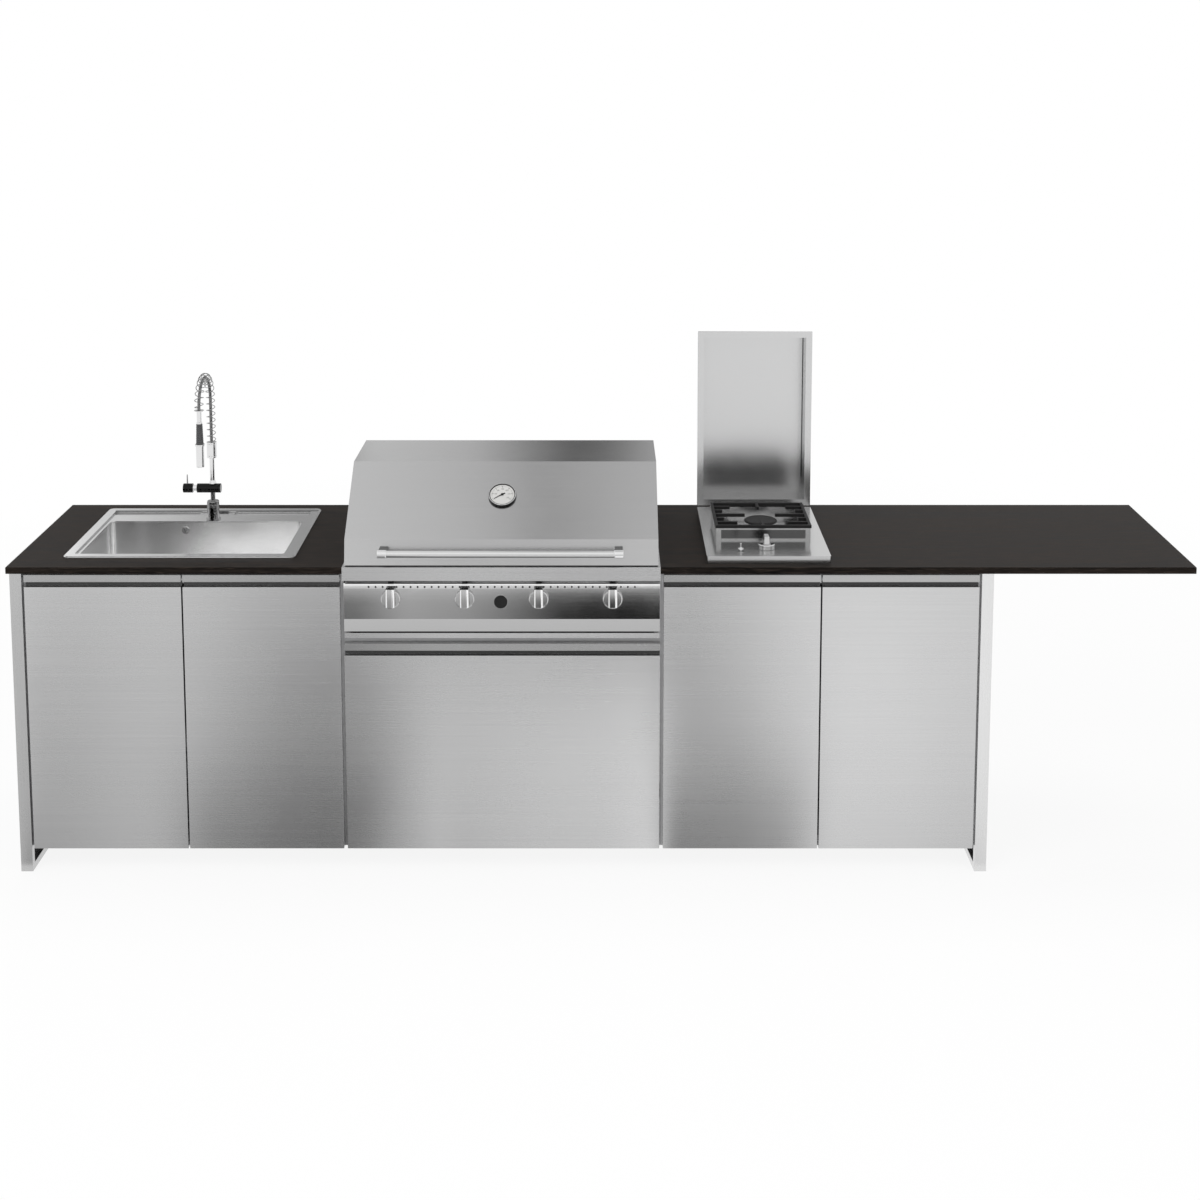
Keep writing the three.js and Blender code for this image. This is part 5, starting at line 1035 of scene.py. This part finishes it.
floorStyle = {"reach": 14}
reach = floorStyle["reach"]
floorMesh = bpy.data.meshes.new("floor")
floorMesh.from_pydata(
    [(-reach, -reach, 0), (reach, -reach, 0), (reach, reach, 0), (-reach, reach, 0)], [], [(0, 1, 2, 3)])
floorMesh.materials.append(floorFinish())
floor = bpy.data.objects.new("floor", floorMesh)
scene.collection.objects.link(floor)
floor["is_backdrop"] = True

world = bpy.data.worlds.new("paleRoom")
world.use_nodes = True
scene.world = world
sky = world.node_tree
background = sky.nodes["Background"]
light = sky.nodes.new("ShaderNodeLightPath")
seen = Value(sky, light.outputs["Is Camera Ray"])
glossy = Value(sky, light.outputs["Is Glossy Ray"])
through = Value(sky, light.outputs["Is Transmission Ray"])
worldStyle = {"white": 1.0, "light": 0.62}
level = worldStyle["light"] + (seen + glossy + through) * (worldStyle["white"] - worldStyle["light"])
background.inputs["Color"].default_value = (1, 1, 1, 1)
sky.links.new(level.socket, background.inputs["Strength"])

# grey studio cards that only the metal mirrors, so that it doesn't mirror an empty white room
# the first two corners are a card's near or lower edge: greys run along it, and shade runs away from it

def studioCard(name, style):
    finish = Finish(name, {})
    spot = finish.node("ShaderNodeTexCoord", out="UV")
    parts = finish.tree.nodes.new("ShaderNodeSeparateXYZ")
    finish.feed(parts.inputs[0], spot)
    across, along = Value(finish.tree, parts.outputs[0]), Value(finish.tree, parts.outputs[1])
    fade = 1.0
    for value, (first, last) in ((across, style["softAcross"]), (along, style["softAlong"])):
        if first:
            fade = fade * finish.node("ShaderNodeMapRange", {"interpolation_type": "SMOOTHSTEP"}, {
                "Value": value, "From Min": 0.0, "From Max": first})
        if last:
            fade = fade * finish.node("ShaderNodeMapRange", {"interpolation_type": "SMOOTHSTEP"}, {
                "Value": value, "From Min": 1.0, "From Max": 1.0 - last})
    clear = finish.tree.nodes.new("ShaderNodeBsdfTransparent")
    glow = finish.tree.nodes.new("ShaderNodeEmission")
    glow.inputs["Strength"].default_value = style["glow"]
    fade = fade * style["cover"]
    grey = finish.ramp(across, style["greys"]) * finish.ramp(along, style["shade"])
    finish.feed(glow.inputs["Color"], finish.tint(grey, (0, 0, 0), (1, 1, 1)))
    mix = finish.tree.nodes.new("ShaderNodeMixShader")
    finish.feed(mix.inputs[0], fade)
    finish.tree.links.new(clear.outputs[0], mix.inputs[1])
    finish.tree.links.new(glow.outputs[0], mix.inputs[2])
    finish.tree.links.new(mix.outputs[0], finish.tree.nodes["Material Output"].inputs["Surface"])
    cells = 12
    a, b, c, d = (Vector(point) for point in style["corners"])
    points, uvs = [], []
    for row in range(cells + 1):
        v = row / cells
        for column in range(cells + 1):
            u = column / cells
            points.append(a.lerp(b, u).lerp(d.lerp(c, u), v))
            uvs.append((u, v))
    faces = []
    for row in range(cells):
        for column in range(cells):
            first = row * (cells + 1) + column
            faces.append((first, first + 1, first + cells + 2, first + cells + 1))
    mesh = bpy.data.meshes.new(name)
    mesh.from_pydata(points, [], faces)
    layer = mesh.uv_layers.new(name="sheet")
    for loop in mesh.loops:
        layer.data[loop.index].uv = uvs[loop.vertex_index]
    mesh.materials.append(finish.material)
    card = bpy.data.objects.new(name, mesh)
    card.visible_camera = card.visible_diffuse = card.visible_shadow = False
    card.visible_transmission = card.visible_volume_scatter = False
    scene.collection.objects.link(card)
    card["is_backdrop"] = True


plainCard = {"shade": ((0.0, 1.0), (1.0, 1.0)), "cover": 1.0, "glow": 1.0}
cardStyle = {
    "doorFloorCard": {
        "corners": ((-2.68, -3.1, 0.003), (1.815, -3.1, 0.003), (1.15, -0.3, 0.003),
                    (-1.7, -0.3, 0.003)),
        "greys": ((0.0, 0.48), (0.045, 0.5), (0.114, 0.6), (0.17, 0.64), (0.2, 0.58), (0.27, 0.36),
                  (0.33, 0.27), (0.36, 0.34), (0.395, 0.52), (0.43, 0.72), (0.46, 0.68), (0.53, 0.77),
                  (0.6, 0.82), (0.645, 0.96), (0.675, 0.48), (0.74, 0.58), (0.78, 0.8), (0.83, 0.9),
                  (0.9, 0.87), (1.0, 0.76)),
        "shade": ((0.0, 1.0), (0.5, 0.99), (0.75, 0.94), (0.91, 0.86), (1.0, 0.82)),
        "softAcross": (0.02, 0.02), "softAlong": (0.04, 0.01), "glow": 1.3,
    },
    "leftFootCard": {
        "corners": ((-1.62, -1.25, 0.006), (-0.55, -1.25, 0.006), (-0.6, -0.29, 0.006),
                    (-1.3, -0.29, 0.006)),
        "greys": ((0.0, 0.14), (1.0, 0.14)),
        "softAcross": (0.3, 0.25), "softAlong": (0.6, 0.01), "cover": 0.55,
    },
    "rightFootCard": {
        "corners": ((0.2, -1.25, 0.006), (0.85, -1.25, 0.006), (0.66, -0.29, 0.006),
                    (0.17, -0.29, 0.006)),
        "greys": ((0.0, 0.14), (1.0, 0.14)),
        "softAcross": (0.08, 0.35), "softAlong": (0.6, 0.01), "cover": 0.55,
    },
    "panelTopCard": {
        "corners": ((-1.4, -3.6, 0.012), (0.6, -3.6, 0.012), (0.6, -2.74, 0.012), (-1.4, -2.74, 0.012)),
        "greys": ((0.0, 0.9), (1.0, 0.9)),
        "softAcross": (0.08, 0.08), "softAlong": (0.02, 0.12),
    },
    "panelFloorCard": {
        "corners": ((-1.223, -2.95, 0.009), (0.46, -2.95, 0.009), (0.38, -1.95, 0.009),
                    (-1.05, -1.95, 0.009)),
        "greys": ((0.0, 0.18), (0.1, 0.24), (0.22, 0.54), (0.38, 0.44), (0.46, 0.32), (0.54, 0.17),
                  (0.63, 0.04), (0.7, 0.012), (1.0, 0.01)),
        "softAcross": (0.03, 0.03), "softAlong": (0.03, 0.05),
    },
    "frontCard": {
        "corners": ((-2.6, -8, 0.2), (1.6, -8, 0.2), (1.6, -8, 3.0), (-2.6, -8, 3.0)),
        "greys": ((0.0, 0.95), (0.22, 0.8), (0.36, 0.68), (0.55, 0.68), (0.72, 0.8), (1.0, 0.95)),
        "softAcross": (0.15, 0.15), "softAlong": (0.2, 0.3),
    },
    "ceilingCard": {
        "corners": ((-2.2, -1.6, 5.2), (1.8, -1.6, 5.2), (1.8, 3.8, 5.2), (-2.2, 3.8, 5.2)),
        "greys": ((0.0, 0.95), (0.22, 0.84), (0.36, 0.74), (0.43, 0.62), (0.48, 0.4), (0.54, 0.56),
                  (0.6, 0.68), (0.75, 0.74), (1.0, 0.9)),
        "softAcross": (0.12, 0.12), "softAlong": (0.15, 0.15),
    },
    "sinkCard": {
        "corners": ((-4.6, -8, 2.4), (-2.3, -8, 2.4), (-2.3, -8, 5.6), (-4.6, -8, 5.6)),
        "greys": ((0.0, 0.7), (0.3, 0.58), (0.38, 0.56), (0.45, 0.46), (0.52, 0.33), (0.59, 0.36),
                  (0.64, 0.46), (0.7, 0.62), (0.76, 0.88), (0.87, 1.0), (1.0, 1.0)),
        "softAcross": (0.1, 0.1), "softAlong": (0.1, 0.15), "glow": 2.5,
    },
    "backCard": {
        "corners": ((-3.2, 5, 0), (1.2, 5, 0), (1.2, 5, 6), (-3.2, 5, 6)),
        "greys": ((0.0, 0.72), (0.1, 0.64), (0.23, 0.4), (0.36, 0.27), (0.42, 0.7), (0.56, 0.58),
                  (0.65, 0.25), (0.695, 0.12), (0.74, 0.2), (0.79, 0.42), (0.89, 0.66), (1.0, 0.9)),
        "softAcross": (0.05, 0.08), "softAlong": (0.05, 0.3),
    },
    "leftCard": {
        "corners": ((-5, -6.5, 0.1), (-5, -1.8, 0.1), (-5, -1.8, 3.6), (-5, -6.5, 3.6)),
        "greys": ((0.0, 0.3), (0.5, 0.1), (1.0, 0.3)),
        "softAcross": (0.2, 0.2), "softAlong": (0.2, 0.3),
    },
    "rightCard": {
        "corners": ((5, -3.4, 0.1), (5, -2.2, 0.1), (5, -2.2, 3.6), (5, -3.4, 3.6)),
        "greys": ((0.0, 0.05), (1.0, 0.05)),
        "softAcross": (0.2, 0.2), "softAlong": (0.2, 0.3),
    },
}
for name, style in cardStyle.items():
    studioCard(name, {**plainCard, **style})

lampStyle = {
    "keyLamp": {"place": (-2.6, -3.6, 4.2), "aim": (0, 0, 0.6), "size": (3.4, 2.4), "power": 95},
    "fillLamp": {"place": (3.2, -3.2, 3.6), "aim": (0.4, 0, 0.6), "size": (2.4, 2.4), "power": 45},
    "topLamp": {"place": (0, 0.6, 4.6), "aim": (0, 0, 0.8), "size": (4.4, 1.6), "power": 60},
}
for name, style in lampStyle.items():
    data = bpy.data.lights.new(name, "AREA")
    data.shape = "RECTANGLE"
    data.size, data.size_y = style["size"]
    data.energy = style["power"]
    lamp = bpy.data.objects.new(name, data)
    lamp.visible_glossy = False
    lamp.location = style["place"]
    aim = Vector(style["aim"]) - Vector(style["place"])
    lamp.rotation_euler = aim.to_track_quat("-Z", "Y").to_euler()
    scene.collection.objects.link(lamp)
scene.view_settings.view_transform = "Standard"
print("floor and light set")

bpy.context.view_layer.update()
low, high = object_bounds()
